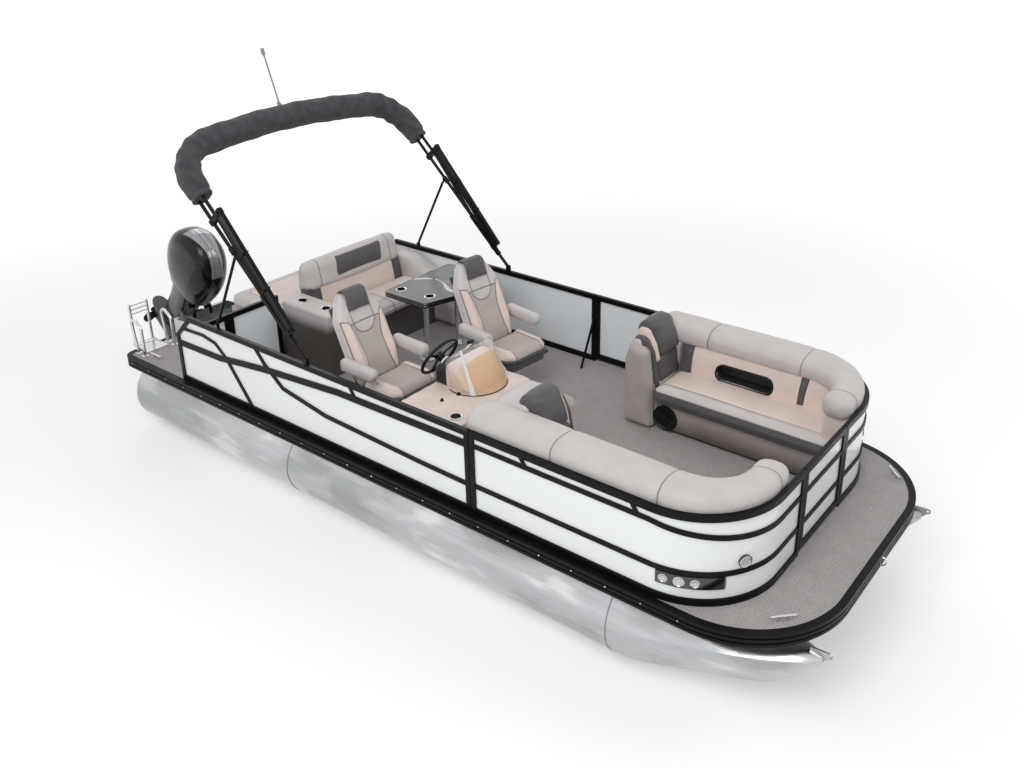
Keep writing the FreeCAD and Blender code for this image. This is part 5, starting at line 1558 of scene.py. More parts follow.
        zones = (
            Zone(Palette.CHARCOAL, uprights),
            Zone(Palette.SATIN_BLACK, lambda g: g.rounded(along, level, half_along, half_up, self.tray_corner, "uw")),
        )
        path = (start, PLAN.lounge_inner + 0.05, 0.012)
        finish = Vinyl("wall_vinyl_" + side, Palette.BLUSH, zones)
        name = "lounge_wall_" + side
        wall = self._swept(name, sign, finish, path, self.wall_reach, (low, high), section, 0.02, relief=dent)
        fit(wall, "root", "vinyl_blush", fill=0.7)
        rim = []
        for u, w in rectangle((-half_along, -half_up), self.tray_half, [self.tray_corner] * 4, 0.01):
            share = (level + w - low) / (high - low)
            inward = self.wall_reach[0] * (1 - self.wall_lean * share**1.3)
            rim.append(SITE.at(self.tray_x + u, sign * (PLAN.fence_in - inward), level + w))
        piece = tube(Form(), rim, 0.0065, 8, closed=True).make("lounge_tray_" + side, TRAY_BLACK)
        fit(piece, "root", "moulding_dark")

    def _layer(
        self, name: str, side: int, finish: Finish, span: Sequence[float], profile: Profile, radii: Sequence[float],
        edge: float, stands_for: Sequence[str], fill: float,
    ) -> None:
        """Adds one cushion of the backrest, its profile drawn from the side.

        Args:
            name: Its name.
            side: Minus for starboard, plus for port.
            finish: Its finish.
            span: How far from the centre line it starts and ends.
            profile: Its corners as (x, z), counter-clockwise.
            radii: The corners' radii.
            edge: The radius of its side edges.
            stands_for: CAD nodes that it replaces.
            fill: How tight its padding is.
        """
        middle, half = side * (span[0] + span[1]) / 2, (span[1] - span[0]) / 2
        pad = side_pad(profile, radii, 0.012, middle, half, edge, 0.004, 0.006, 0.025)
        slot = "vinyl_charcoal" if finish is CHARCOAL_VINYL else "vinyl_greige"
        fit(pad.make(name, finish), "root", slot, stands_for, fill)

    def _backrest(self, side: str, sign: int, aft: float) -> None:
        """Builds the aft backrest: a pillar, layered side cushions, a draped headrest and the pod behind them.

        Args:
            side: The side's name.
            sign: 1 to port, -1 to starboard.
            aft: Where the backrest starts, from the deck's rear edge.
        """
        pale = Vinyl("pale_vinyl", Palette.BLUSH)
        taupe = Vinyl("taupe_vinyl", Palette.TAUPE, worn=1.0)
        tall = 0.760 if sign > 0 else 0.790
        layers = (
            ("pillar", taupe, (0.454, 0.560), 0.045, 0.7,
             [(4.425, 0.004), (4.690, 0.004), (4.672, 0.400), (4.625, 0.690), (4.465, 0.700), (4.420, 0.560)],
             [0.02, 0.03, 0.3, 0.07, 0.07, 0.2]),
            ("layer", CHARCOAL_VINYL, (0.550, 0.600), 0.018, 0.7,
             [(4.440, 0.250), (4.694, 0.250), (4.694, 0.400), (4.640, 0.640), (4.575, 0.752), (4.465, 0.752),
              (4.440, 0.640)],
             [0.02, 0.02, 0.04, 0.1, 0.05, 0.05, 0.05]),
            ("accent", pale, (0.590, 0.642), 0.018, 0.7,
             [(4.445, 0.500), (4.672, 0.540), (4.640, 0.680), (4.565, 0.806), (4.470, 0.806), (4.445, 0.700)],
             [0.02, 0.02, 0.08, 0.05, 0.05, 0.05]),
            ("head", CHARCOAL_VINYL, (0.632, 0.900), 0.034, 0.8,
             [(4.435, 0.600), (4.694, 0.588), (4.672, 0.700), (4.600, 0.852), (4.490, 0.858), (4.432, 0.790)],
             [0.03, 0.028, 0.12, 0.06, 0.05, 0.05]),
            ("foot", CHARCOAL_VINYL, (0.596, 0.900), 0.022, 0.7,
             [(4.460, 0.360), (4.696, 0.360), (4.694, 0.420), (4.664, 0.582), (4.470, 0.590)],
             [0.02, 0.02, 0.03, 0.03, 0.02]),
            ("pod", POD_VINYL, (0.530, 0.930), 0.05, 0.7,
             [(aft + 0.004, 0.004), (4.690, 0.004), (4.690, 0.360), (4.630, 0.560), (4.540, tall),
              (min(aft + 0.1, 4.46), tall - 0.03), (aft, 0.640)],
             [0.02, 0.02, 0.04, 0.06, 0.06, 0.08, 0.08]),
            ("wing", POD_VINYL, (0.880, 1.206), 0.02, 0.7,
             [(aft + 0.006, 0.004), (4.696, 0.004), (4.696, 0.620), (aft + 0.006, 0.620)],
             [0.02, 0.02, 0.02, 0.03]),
        )
        for name, finish, span, edge, fill, profile, radii in layers:
            stands_for = ["lounge_backrest_" + side] if name == "pod" else []
            self._layer(f"back_{name}_{side}", sign, finish, span, profile, radii, edge, stands_for, fill)


def speaker(centre: Vector, facing: Vector, name: str) -> None:
    """Adds a round speaker with a ribbed grille.

    Args:
        centre: Its centre on the face that carries it.
        facing: The way it faces.
        name: Its name.
    """
    place = axes(centre, facing.orthogonal(), facing)
    form = Form()
    rim = [(0.004, 0.0), (0.104, 0.0), (0.108, 0.004), (0.106, 0.014), (0.094, 0.018), (0.087, 0.010), (0.03, 0.006)]
    lathe(form, place, rim + [(0.028, 0.014), (0.004, 0.018)], 40)

    def wire(points: Sequence[Sequence[float]], radius: float, closed: bool = False) -> None:
        """Adds a wire of the grille through points of the speaker's own frame."""
        tube(form, [Vector(p) for p in place.to_world(np.array(points))], radius, 6, closed)

    for radius in (0.046, 0.070):
        wire([(radius * c, radius * s, 0.0115) for c, s in circle(40)], 0.0025, closed=True)
    for c, s in circle(12)[:6]:
        wire([(0.088 * c, 0.088 * s, 0.012), (-0.088 * c, -0.088 * s, 0.012)], 0.0028)
    fit(form.make(name, SPEAKER_BLACK), "root", "moulding_dark")


def cup_rim(centre: Vector, name: str, radius: float = 0.038) -> None:
    """Adds a cup holder's bright rim and its dark liner.

    Args:
        centre: The cup's centre on the surface round it.
        name: Its name.
        radius: The cup's radius.
    """
    rim = [(-0.001, 0.0005), (-0.0005, 0.004), (0.006, 0.006), (0.013, 0.003), (0.014, 0.0)]
    liner = [(-0.002, 0.003), (-0.004, -0.056), (0.001 - radius, -0.057), (0.001 - radius, -0.059)]
    liner += [(-0.001, -0.058), (-0.0005, 0.002)]
    for label, profile, finish, slot in (
        ("_rim", rim, STAINLESS, "stainless"),
        ("_liner", liner, SPEAKER_BLACK, "moulding_dark"),
    ):
        form = turned(Form(), upright(centre), [(radius + out, height) for out, height in profile])
        fit(form.make(name + label, finish), "root", slot)


def cup_well(centre: Vector, name: str, radius: float = 0.037) -> None:
    """Adds the dark mouth of a cup holder sunk in a solid top.

    Args:
        centre: The cup's centre on the surface round it.
        name: Its name.
        radius: The mouth's radius.
    """
    profile = [(radius, -0.002), (radius * 0.9, -0.0012), (0.001, -0.0022), (0.001, -0.004), (radius, -0.004)]
    mouth = turned(Form(), upright(centre), profile)
    fit(mouth.make(name, Coat("cup_black", Palette.SATIN_BLACK, 0.7)), "root", "moulding_dark")


def turned(form: Form, place: Axes, profile: Sequence[tuple[float, float]], sides: int = 36) -> Form:
    """Adds a ring turned from a closed profile."""
    local = np.array([(radius * c, radius * s, height) for c, s in circle(sides) for radius, height in profile])
    return form.add(place.to_world(local), rings_joined(sides, len(profile), closed=True), local)


@dataclass(frozen=True)
class Heads:
    """A row's fasteners: the distance between them, a head's radius and height, its finish and its slot."""

    spacing: float
    radius: float
    height: float
    finish: Finish
    slot: str


Run = list[tuple[Vector, Vector]]


class Fasteners:
    """Screw and rivet heads repeated along lines on the CAD nodes' surfaces by a Geometry Nodes tree."""

    OUTWARD = "outward"
    SEED = 11
    SUNK = 0.0004
    AWAY = 1.6
    RAY = 0.6
    STEP = 0.09
    FROM_EDGE = 0.016
    INPUTS = (
        ("Geometry", "Geometry", None),
        ("Spacing", "Float", 0.2),
        ("Head radius", "Float", 0.005),
        ("Head height", "Float", 0.002),
        ("Seed", "Int", 7),
        ("Finish", "Material", None),
    )
    NODES = {
        "given": "NodeGroupInput",
        "result": "NodeGroupOutput",
        "line": "GeometryNodeMeshToCurve",
        "spaced": "GeometryNodeResampleCurve",
        "head": "GeometryNodeMeshCone",
        "narrow": "ShaderNodeMath",
        "outward": "GeometryNodeInputNamedAttribute",
        "facing": "FunctionNodeAlignRotationToVector",
        "chance": "FunctionNodeRandomValue",
        "spin": "FunctionNodeAxisAngleToRotation",
        "turn": "FunctionNodeRotateRotation",
        "each": "GeometryNodeInstanceOnPoints",
        "real": "GeometryNodeRealizeInstances",
        "finish": "GeometryNodeSetMaterial",
    }
    LINKS = (
        ("given", "Geometry", "line", "Mesh"),
        ("line", "Curve", "spaced", "Curve"),
        ("given", "Spacing", "spaced", "Length"),
        ("given", "Head radius", "narrow", 0),
        ("narrow", 0, "head", "Radius Top"),
        ("given", "Head radius", "head", "Radius Bottom"),
        ("given", "Head height", "head", "Depth"),
        ("outward", "Attribute", "facing", "Vector"),
        ("given", "Seed", "chance", "Seed"),
        ("chance", 1, "spin", "Angle"),
        ("facing", "Rotation", "turn", 0),
        ("spin", "Rotation", "turn", 1),
        ("spaced", "Curve", "each", "Points"),
        ("head", "Mesh", "each", "Instance"),
        ("turn", 0, "each", "Rotation"),
        ("each", "Instances", "real", "Geometry"),
        ("real", "Geometry", "finish", "Geometry"),
        ("given", "Finish", "finish", "Material"),
        ("finish", "Geometry", "result", 0),
    )

    def __init__(self) -> None:
        """Draws the tree: a line resampled at a spacing, a head on each point, turned at random about its axis."""
        tree = self._tree = bpy.data.node_groups.new("fasteners", "GeometryNodeTree")
        self._sockets: dict[str, str] = {}
        for name, kind, value in self.INPUTS:
            socket = tree.interface.new_socket(name, in_out="INPUT", socket_type="NodeSocket" + kind)
            if value is not None:
                socket.default_value = value
            self._sockets[name] = socket.identifier
        tree.interface.new_socket("Geometry", in_out="OUTPUT", socket_type="NodeSocketGeometry")
        nodes = {name: tree.nodes.new(kind) for name, kind in self.NODES.items()}
        nodes["spaced"].mode = "LENGTH"
        nodes["head"].inputs["Vertices"].default_value = 10
        nodes["narrow"].operation = "MULTIPLY"
        nodes["narrow"].inputs[1].default_value = 0.62
        nodes["outward"].data_type = "FLOAT_VECTOR"
        nodes["outward"].inputs["Name"].default_value = self.OUTWARD
        nodes["facing"].axis = "Z"
        nodes["chance"].data_type = "FLOAT"
        nodes["chance"].inputs[3].default_value = math.tau
        nodes["spin"].inputs["Axis"].default_value = (0.0, 0.0, 1.0)
        nodes["turn"].rotation_space = "LOCAL"
        for source, output, target, given in self.LINKS:
            tree.links.new(nodes[source].outputs[output], nodes[target].inputs[given])

    def lines(self, node: str, rays: Iterable[tuple[Vector, Vector]]) -> list[Run]:
        """Drops a line of rays on a node.

        Args:
            node: The node's name.
            rays: Its (start, direction) rays in the frame.

        Returns:
            The runs of (place, outward) hits, broken where a ray misses or the surface steps.
        """
        surface = surface_of(node)
        runs: list[Run] = [[]]
        for start, direction in rays:
            place, normal, _, _ = surface.ray_cast(start, direction, self.RAY)
            steps = place is not None and runs[-1] and (place - runs[-1][-1][0]).length > self.STEP
            if place is None or steps or abs(normal.dot(direction)) < 0.9:
                runs.append([])
            else:
                runs[-1].append((place, -direction))
        return [run for run in runs if len(run) > 3]

    def make(self, name: str, body: str, runs: Sequence[Run], heads: Heads) -> None:
        """Makes the heads of one body as a plain mesh.

        Args:
            name: The piece's name.
            body: What it rides on.
            runs: Lines of (place, outward).
            heads: What the fasteners are like.
        """
        mesh = bpy.data.meshes.new(name)
        points = [place - out * self.SUNK for run in runs for place, out in run]
        edges, first = [], 0
        for run in runs:
            edges.extend((first + i, first + i + 1) for i in range(len(run) - 1))
            first += len(run)
        mesh.from_pydata(points, edges, [])
        attribute = mesh.attributes.new(self.OUTWARD, "FLOAT_VECTOR", "POINT")
        attribute.data.foreach_set("vector", np.array([out for run in runs for _, out in run]).ravel())
        obj = link(bpy.data.objects.new(name, mesh))
        modifier = obj.modifiers.new("fasteners", "NODES")
        modifier.node_group = self._tree
        values = {"Spacing": heads.spacing, "Head radius": heads.radius, "Head height": heads.height}
        for label, value in (values | {"Seed": self.SEED, "Finish": heads.finish.material()}).items():
            modifier[self._sockets[label]] = value
        obj.data = plain_mesh(obj)
        bpy.data.meshes.remove(mesh)
        if not obj.data.materials:
            obj.data.materials.append(heads.finish.material())
        fit(obj, body, heads.slot)

    def dress(self) -> None:
        """Screws the rub rail and the foot rails of fences and gates."""
        low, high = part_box("rub_rail")
        middle = (low.z + high.z) / 2 - SITE.deck

        def beside(node: str, sign: int, level: float, stations: np.ndarray) -> list[Run]:
            """Finds the lines along one side of the boat at a level above the deck."""
            return self.lines(node, [(SITE.at(x, sign * self.AWAY, level), Vector((0, -sign, 0))) for x in stations])

        screws = Heads(0.26, 0.0055, 0.0024, STAINLESS, "stainless")
        runs = [run for sign in SIDES for run in beside("rub_rail", sign, middle, np.arange(0.15, 6.0, 0.03))]
        self.make("rub_rail_screws", "root", runs, screws)
        rivets = Heads(0.30, 0.0045, 0.0020, FENCE_BLACK, "fence_black")
        runs = []
        for node, sign in (("fence_frame_starboard", -1), ("fence_frame_port", 1)):
            for level in (0.018, 0.640):
                runs += beside(node, sign, level, np.arange(0.50, 6.2, 0.015))
        self.make("fence_rivets", "root", runs, rivets)
        for body in ("front_gate", "side_gate", "rear_gate"):
            self.make(body + "_rivets", body, self._gate(body + "_frame"), replace(rivets, spacing=0.12))

    def _gate(self, node: str) -> list[Run]:
        """Finds the lines along a gate's lower and upper rail.

        Args:
            node: The gate frame's name.

        Returns:
            Runs of (place, outward) hits.
        """
        low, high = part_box(node)
        runs = []
        for level in (low.z + self.FROM_EDGE, high.z - self.FROM_EDGE):
            if high.x - low.x > high.y - low.y:
                sign = 1 if low.y > 0 else -1
                way = Vector((0, -sign, 0))
                rays = [(Vector((x, sign * self.AWAY, level)), way) for x in np.arange(low.x, high.x, 0.01)]
            else:
                ahead = Vector((1 if low.x > 0 else -1, 0, 0))
                start = low.x + ahead.x * 0.3
                rays = [(Vector((start, y, level)), -ahead) for y in np.arange(low.y, high.y, 0.01)]
            runs += self.lines(node, rays)
        return runs


@dataclass(frozen=True)
class RearSeating:
    """The bench, the lounge behind it, the side coaming, the drinks stand and the table, in metres."""

    seat_start: float = 0.214
    seat_levels: tuple[float, float] = (0.332, 0.424)
    front_band: float = 0.12
    dark_ends: float = 0.13
    end_seams: float = 0.15
    seam_half: float = 0.001
    aft_seam_y: float = 0.34
    coaming_height: float = 0.656
    cup_inset: float = 0.1525
    inlay_steps: int = 32
    inlay_lift: float = 0.0008

    def dress(self) -> None:
        """Builds the rear seating."""
        self._bench()
        self._aft_lounge()
        self._coaming()
        self._stand()
        self._table()

    def _seam(self, axis: str, place: float) -> Zone:
        """Makes a thin blush line across a pad where one of its coordinates has a given value."""
        return Zone(Palette.BLUSH, lambda g: g.minus(self.seam_half, g.absolute(g.minus(g.local(axis), place))))

    def _bench(self) -> None:
        """Builds the bench's base, seat and backrest."""
        x0, x1 = PLAN.bench_aft + self.seat_start, PLAN.bench_front
        y0, y1 = PLAN.bench_starboard, PLAN.bench_port
        base = ShadedBody("bench_base", Palette.UMBER, Palette.CHARCOAL, SITE.deck, SITE.deck + 0.33)
        repaint("bench_base", base)
        middle, half = (y0 + y1) / 2, (y1 - y0) / 2
        front = Zone(Palette.BLUSH, lambda g: g.minus(x1 - self.front_band, g.local("u")))
        seat = rectangle((x0, y0), (x1, y1), [0.03, 0.07, 0.07, 0.03], 0.02)
        low, high = self.seat_levels
        pad = Pad(seat, upright(SITE.at(0, 0, 0)), low, high, 0.035, 0.016, 0.010, 0.02, 0.035)
        finish = Vinyl("bench_seat_vinyl", Palette.GREIGE, (front, self._seam("v", middle)))
        fit(pad.make("bench_seat_pad", finish), "root", "vinyl_greige", ["bench_seat"], 0.7)
        self._bench_back(middle, half)

    def _bench_back(self, middle: float, half: float) -> None:
        """Builds the backrest: a soft greige roll with a charcoal insert over a blush band, dark at both ends.

        Args:
            middle: How far to port its middle lies.
            half: Half its width.
        """
        x0, top = PLAN.bench_aft, PLAN.bench_back
        lower = [(x0 + 0.01, 0.335), (x0 + 0.205, 0.335), (x0 + 0.205, 0.44), (x0 + 0.16, 0.68), (x0 + 0.02, 0.68)]
        ends = Zone(Palette.CHARCOAL, lambda g: g.minus(g.absolute(g.local("w")), half - self.dark_ends))
        radii = [0.02, 0.03, 0.04, 0.03, 0.03]
        pad = side_pad(lower, radii, 0.015, middle, half - 0.012, 0.03, 0.004, 0.004, 0.03)
        band = pad.make("bench_back_band", Vinyl("bench_band_vinyl", Palette.BLUSH, (ends,)))
        fit(band, "root", "vinyl_blush", ["bench_backrest"], 0.7)

        def at_seam(g: Graph) -> Socket:
            """Measures how near the closest of the two end seams is."""
            return g.minus(0.0, g.absolute(g.minus(g.absolute(g.local("w")), half - self.end_seams)))

        upper = [(x0, 0.56), (x0 + 0.198, 0.600), (x0 + 0.142, top), (x0 + 0.03, top), (x0, 0.74)]
        radii = [0.03, 0.055, 0.065, 0.055, 0.05]
        pad = side_pad(upper, radii, 0.012, middle, half, 0.085, 0.010, 0.012, 0.022)
        roll = pad.make("bench_back_roll", Vinyl("bench_roll_vinyl", Palette.GREIGE, (Zone(Palette.TAUPE, at_seam),)))
        fit(roll, "root", "vinyl_greige", fill=0.8)
        rise = Vector((-0.056, 0, top - 0.600)).normalized()
        place = axes(SITE.at(x0 + 0.172, middle + 0.04, 0.762), (0, 1, 0), Vector((rise.z, 0, -rise.x)))
        outline = rounded_outline([(-0.305, -0.098), (0.275, -0.098), (0.305, 0.090), (-0.275, 0.090)], [0.028] * 4)
        insert = Pad(outline, place, -0.03, 0.010, 0.014, 0.008, 0.002, 0.01, 0.03)
        fit(insert.make("bench_back_insert", CHARCOAL_VINYL), "root", "vinyl_charcoal", fill=0.6)

    def _aft_lounge(self) -> None:
        """Builds the sun lounge behind the bench, with a greige roll along its edges."""
        low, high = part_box("aft_lounge_cushion")
        base = ShadedBody("aft_base", Palette.GREIGE, Palette.UMBER, SITE.deck - 0.1, SITE.deck + 0.5)
        repaint("aft_lounge_base", base)
        middle, half = (low + high) / 2, (high - low) / 2

        def panel(g: Graph) -> Socket:
            """Measures how far inside the blush panel a point lies."""
            return g.rounded(middle.x + 0.05, middle.y, half.x - 0.08, half.y - 0.12, 0.06)

        finish = Vinyl("aft_vinyl", Palette.GREIGE, (Zone(Palette.BLUSH, panel), self._seam("v", self.aft_seam_y)))
        outline = rectangle(low, high, [0.09, 0.04, 0.04, 0.12], 0.02)
        place = axes(Vector((0, 0, low.z)), (1, 0, 0), (0, 0, 1))
        pad = Pad(outline, place, 0.002, high.z - low.z - 0.012, 0.045, 0.022, 0.010, 0.02, 0.045)
        fit(pad.make("aft_lounge_pad", finish), "root", "vinyl_blush", ["aft_lounge_cushion"], 0.7)

    def _coaming(self) -> None:
        """Builds the padded side panel by the bench, falling forward."""
        low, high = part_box("side_coaming")
        shares = [(0.0, 0.01), (1.0, 0.01), (1.0, 0.30), (0.86, 0.50), (0.62, 0.74), (0.3, 0.93), (0.0, 0.93)]
        length = high.x - low.x
        corners = [(low.x - SITE.rear + length * a, self.coaming_height * b) for a, b in shares]
        radii = [0.02, 0.03, 0.06, 0.15, 0.15, 0.10, 0.05]
        middle, half = (low.y + high.y) / 2, (high.y - low.y) / 2
        pad = side_pad(corners, radii, 0.02, middle, half, 0.05, 0.004, 0.004, 0.04)
        fit(pad.make("side_coaming_pad", POD_VINYL), "root", "vinyl_greige", ["side_coaming"], 0.7)

    def _stand(self) -> None:
        """Gives the drinks stand its finish and its cups."""
        low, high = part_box("drinks_stand")
        body = ShadedBody("drinks_stand", Palette.GREIGE, Palette.UMBER, high.z - 0.16, high.z - 0.01)
        repaint("drinks_stand", body)
        for i, x in enumerate((low.x + self.cup_inset, high.x - self.cup_inset)):
            cup_rim(Vector((x, (low.y + high.y) / 2, high.z)), f"stand_cup_{i}")

    def _table(self) -> None:
        """Dresses the table: its gloss top, its black edge, a wavy inlay and its cups."""
        low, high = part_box("table_top")
        repaint("table_top", Laminate("table_laminate"))
        x0, y0 = low.x, low.y
        long, wide = high.x - low.x, high.y - low.y
        corners = [(x0, y0), (x0 + long * 0.83, y0), (x0 + long, y0 + wide * 0.41), (x0 + long, high.y), (x0, high.y)]
        outline = rounded_outline(corners, [0.038] * 5, 0.01)
        black = Coat("table_edge", Palette.SATIN_BLACK, 0.16, gloss=1.0)
        edge = Form()
        for drop in (0.014, 0.036):
            tube(edge, [Vector((x, y, high.z - drop)) for x, y in outline], 0.0165, 12, closed=True)
        fit(edge.make("table_edge", black), "root", "moulding_dark")
        count = self.inlay_steps + 1
        share = np.linspace(0, 1, count)
        x = x0 + long * (0.02 + 0.96 * share)
        y = y0 + wide * (0.42 + 0.10 * np.sin(share * 5.2) + 0.10 * share)
        broad = 0.016 + 0.010 * np.sin(share * 9.0 + 1.0)
        level = np.full(count, high.z + self.inlay_lift)
        points = np.vstack([np.column_stack([x, y - broad, level]), np.column_stack([x, y + broad, level])])
        faces = [(k, k + 1, k + 1 + count, k + count) for k in range(self.inlay_steps)]
        fit(Form().add(points, faces).make("table_inlay", black), "root", "moulding_dark")
        for i, (a, b) in enumerate(((0.16, 0.13), (0.7, 0.17))):
            cup_rim(Vector((x0 + long * a, y0 + wide * b, high.z)), f"table_cup_{i}")


@dataclass(frozen=True)
class BucketSeats:
    """The two swivel seats, one shape set down twice, in metres and radians."""

    places: tuple[tuple[str, float, float, float], ...] = (
        ("helm", 2.950, -0.690, 0.0),
        ("companion", 3.280, 0.330, math.radians(-6)),
    )
    panel_half: float = 0.158
    skirt_line: float = 0.420
    recline: float = math.radians(23)
    hinge: tuple[float, float] = (-0.06, 0.40)
    back_length: float = 0.765
    waist_half: float = 0.112
    waist_rise: float = 0.25
    headrest_half: float = 0.110

    def dress(self) -> None:
        """Builds both seats."""
        for name, x, y, turn in self.places:
            foot, ahead = SITE.at(x, y, 0), Vector((math.cos(turn), math.sin(turn), 0))
            level = axes(foot, ahead, (0, 0, 1))
            self._cushion(name, level)
            place = self._back_place(foot, ahead)
            self._back(name, place)
            self._headrest(name, place)
            self._arms(name, level)
            repaint(name + "_seat_shell", Plastic("seat_shell", Palette.CHARCOAL, 0.45))

    def _cushion(self, name: str, level: Axes) -> None:
        """Builds the seat cushion with raised sides, its front lip and a dark skirt under it.

        Args:
            name: Which seat.
            level: The seat's frame on the deck.
        """
        body = name + "_seat"

        def sides(u: np.ndarray, v: np.ndarray) -> np.ndarray:
            """Shapes raised bolsters and a dished middle.

            Args:
                u: The points' first pad coordinate.
                v: The points' second pad coordinate.

            Returns:
                How far each point rises.
            """
            bolster = 0.024 * bell(np.abs(v), 0.205, 0.045)
            lip = 0.010 * bell(u, 0.275, 0.035)
            return bolster + lip - 0.010 * bell(v, 0.0, 0.11) * bell(u, 0.11, 0.12)

        zones = (
            Zone(Palette.TAUPE, lambda g: g.rounded(0.10, 0.0, 0.30, self.panel_half, 0.05)),
            Zone(Palette.BLUSH, lambda g: g.minus(g.absolute(g.local("v")), self.panel_half)),
            Zone(Palette.CHARCOAL, lambda g: g.minus(self.skirt_line, g.local("w"))),
        )
        corners = [(-0.055, -0.252), (0.330, -0.246), (0.330, 0.246), (-0.055, 0.252)]
        outline = rounded_outline(corners, [0.04, 0.12, 0.12, 0.04], 0.015)
        pad = Pad(outline, level, 0.370, 0.462, 0.040, 0.010, 0.008, 0.02, 0.020, sides)
        piece = pad.make(name + "_seat_pad", Vinyl("seat_vinyl", Palette.GREIGE, zones))
        fit(piece, body, "vinyl_greige", [name + "_seat_cushions"], 0.7)
        corners = [(-0.05, -0.248), (0.322, -0.242), (0.322, 0.242), (-0.05, 0.248)]
        outline = rounded_outline(corners, [0.04, 0.11, 0.11, 0.04], 0.02)
        skirt = Pad(outline, level, 0.306, 0.396, 0.010, 0.0, 0.004, 0.034, 0.03)
        fit(skirt.make(name + "_seat_skirt", CHARCOAL_VINYL), body, "vinyl_charcoal", fill=0.8)

    def _back_place(self, foot: Vector, ahead: Vector) -> Axes:
        """Makes the backrest's frame: u across it, v up it and w out of its face.

        Args:
            foot: Where the seat's swivel axis meets the deck.
            ahead: The way the seat faces.

        Returns:
            The frame.
        """
        c, s = math.cos(self.recline), math.sin(self.recline)
        rise, facing = ahead * -s + Vector((0, 0, c)), ahead * c + Vector((0, 0, s))
        base = foot + ahead * self.hinge[0] + Vector((0, 0, self.hinge[1]))
        place = axes(base, rise.cross(facing), facing)
        return place if place.v.dot(rise) > 0 else axes(base, facing.cross(rise), facing)

    def _waist(self, g: Graph, rise: Socket) -> Socket:
        """Gives how far from the middle the taupe panel's curved side runs at a height up the back."""
        return g.plus(self.waist_half, g.times(g.power(g.minus(rise, self.waist_rise), 2.0), 0.75))

    def _back(self, name: str, place: Axes) -> None:
        """Builds the backrest: shaped shoulders, side bolsters and sewn panels.

        Args:
            name: Which seat.
            place: The backrest's frame.
        """
        half = [(-0.205, 0.0), (0.205, 0.0), (0.243, 0.22), (0.242, 0.57), (0.160, 0.722), (0.118, self.back_length)]
        corners = half + [(-x, y) for x, y in half[:1:-1]]
        outline = rounded_outline(corners, [0.07, 0.07, 0.26, 0.15, 0.09, 0.05, 0.05, 0.09, 0.15, 0.26], 0.013)

        def shape(u: np.ndarray, v: np.ndarray) -> np.ndarray:
            """Shapes side bolsters that fade out towards the shoulders, and a soft waist.

            Args:
                u: The points' first pad coordinate.
                v: The points' second pad coordinate.

            Returns:
                How far each point rises.
            """
            wing = 0.034 * bell(np.abs(u), 0.190, 0.046) * np.clip((0.66 - v) / 0.25, 0, 1)
            waist = 0.014 * bell(v, 0.20, 0.12)
            dish = -0.012 * bell(u, 0.0, 0.11)
            curve = 0.505 - 0.10 * np.cos(np.clip(u / 0.10, -1.5, 1.5))
            return wing + waist + dish - 0.006 * bell(v, curve, 0.012) * (np.abs(u) < 0.13)

        def middle_panel(g: Graph) -> Socket:
            """Measures inside the taupe panel, its sides curved and its top cut off by the collar.

            Args:
                g: The material's graph.

            Returns:
                A socket that is positive inside.
            """
            rise = g.local("v")
            side = g.minus(self._waist(g, rise), g.absolute(g.local("u")))
            return g.least(side, g.minus(0.500, rise))

        def wings(g: Graph) -> Socket:
            """Measures inside the blush side panels: a band between two curves, below the shoulders.

            Args:
                g: The material's graph.

            Returns:
                A socket that is positive inside.
            """
            across, rise = g.absolute(g.local("u")), g.local("v")
            inside = g.minus(across, self._waist(g, rise))
            top = g.minus(g.plus(0.47, g.times(across, 0.35)), rise)
            return g.least(g.least(inside, top), g.minus(0.224, across))

        zones = (
            Zone(Palette.TAUPE, middle_panel),
            Zone(Palette.BLUSH, wings),
            Zone(Palette.GREIGE, lambda g: g.rounded(0.0, 0.56, 0.108, 0.155, 0.10)),
        )
        pad = Pad(outline, place, -0.104, -0.004, 0.046, 0.012, 0.010, 0.040, 0.020, shape)
        piece = pad.make(name + "_seat_back", Vinyl("seat_back_vinyl", Palette.GREIGE, zones))
        fit(piece, name + "_seat", "vinyl_greige", fill=0.7)

    def _headrest(self, name: str, place: Axes) -> None:
        """Builds the charcoal pad that hangs over the back's top edge.

        Args:
            name: Which seat.
            place: The backrest's frame.
        """
        bends = [(-0.165, 0.018), (-0.06, 0.036), (-0.005, 0.026), (0.018, -0.020), (0.016, -0.064), (-0.02, -0.104)]
        length = self.back_length
        over = [(length + rise, out) for rise, out in bends + [(-0.10, -0.118)]]
        under = [(v - 0.014 if v > length - 0.03 else v, w - 0.026 if w > 0 else w * 0.72) for v, w in over]
        spine, belly = smooth_line(np.array(over), 24), smooth_line(np.array(under), 24)
        middle = (spine + belly) / 2
        sections, local = [], []
        for share in np.linspace(-1, 1, 25):
            shrink = 0.25 + 0.75 * math.sqrt(max(0.0, 1 - abs(share) ** 7))
            ring = np.vstack([middle + (spine - middle) * shrink, (middle + (belly - middle) * shrink)[::-1]])
            rows = np.column_stack([np.full(len(ring), self.headrest_half * share), ring])
            sections.append(place.to_world(rows))
            local.append(rows)
        piece = skin(Form(), sections, local).make(name + "_headrest", CHARCOAL_VINYL)
        fit(piece, name + "_seat", "vinyl_charcoal", fill=0.8)

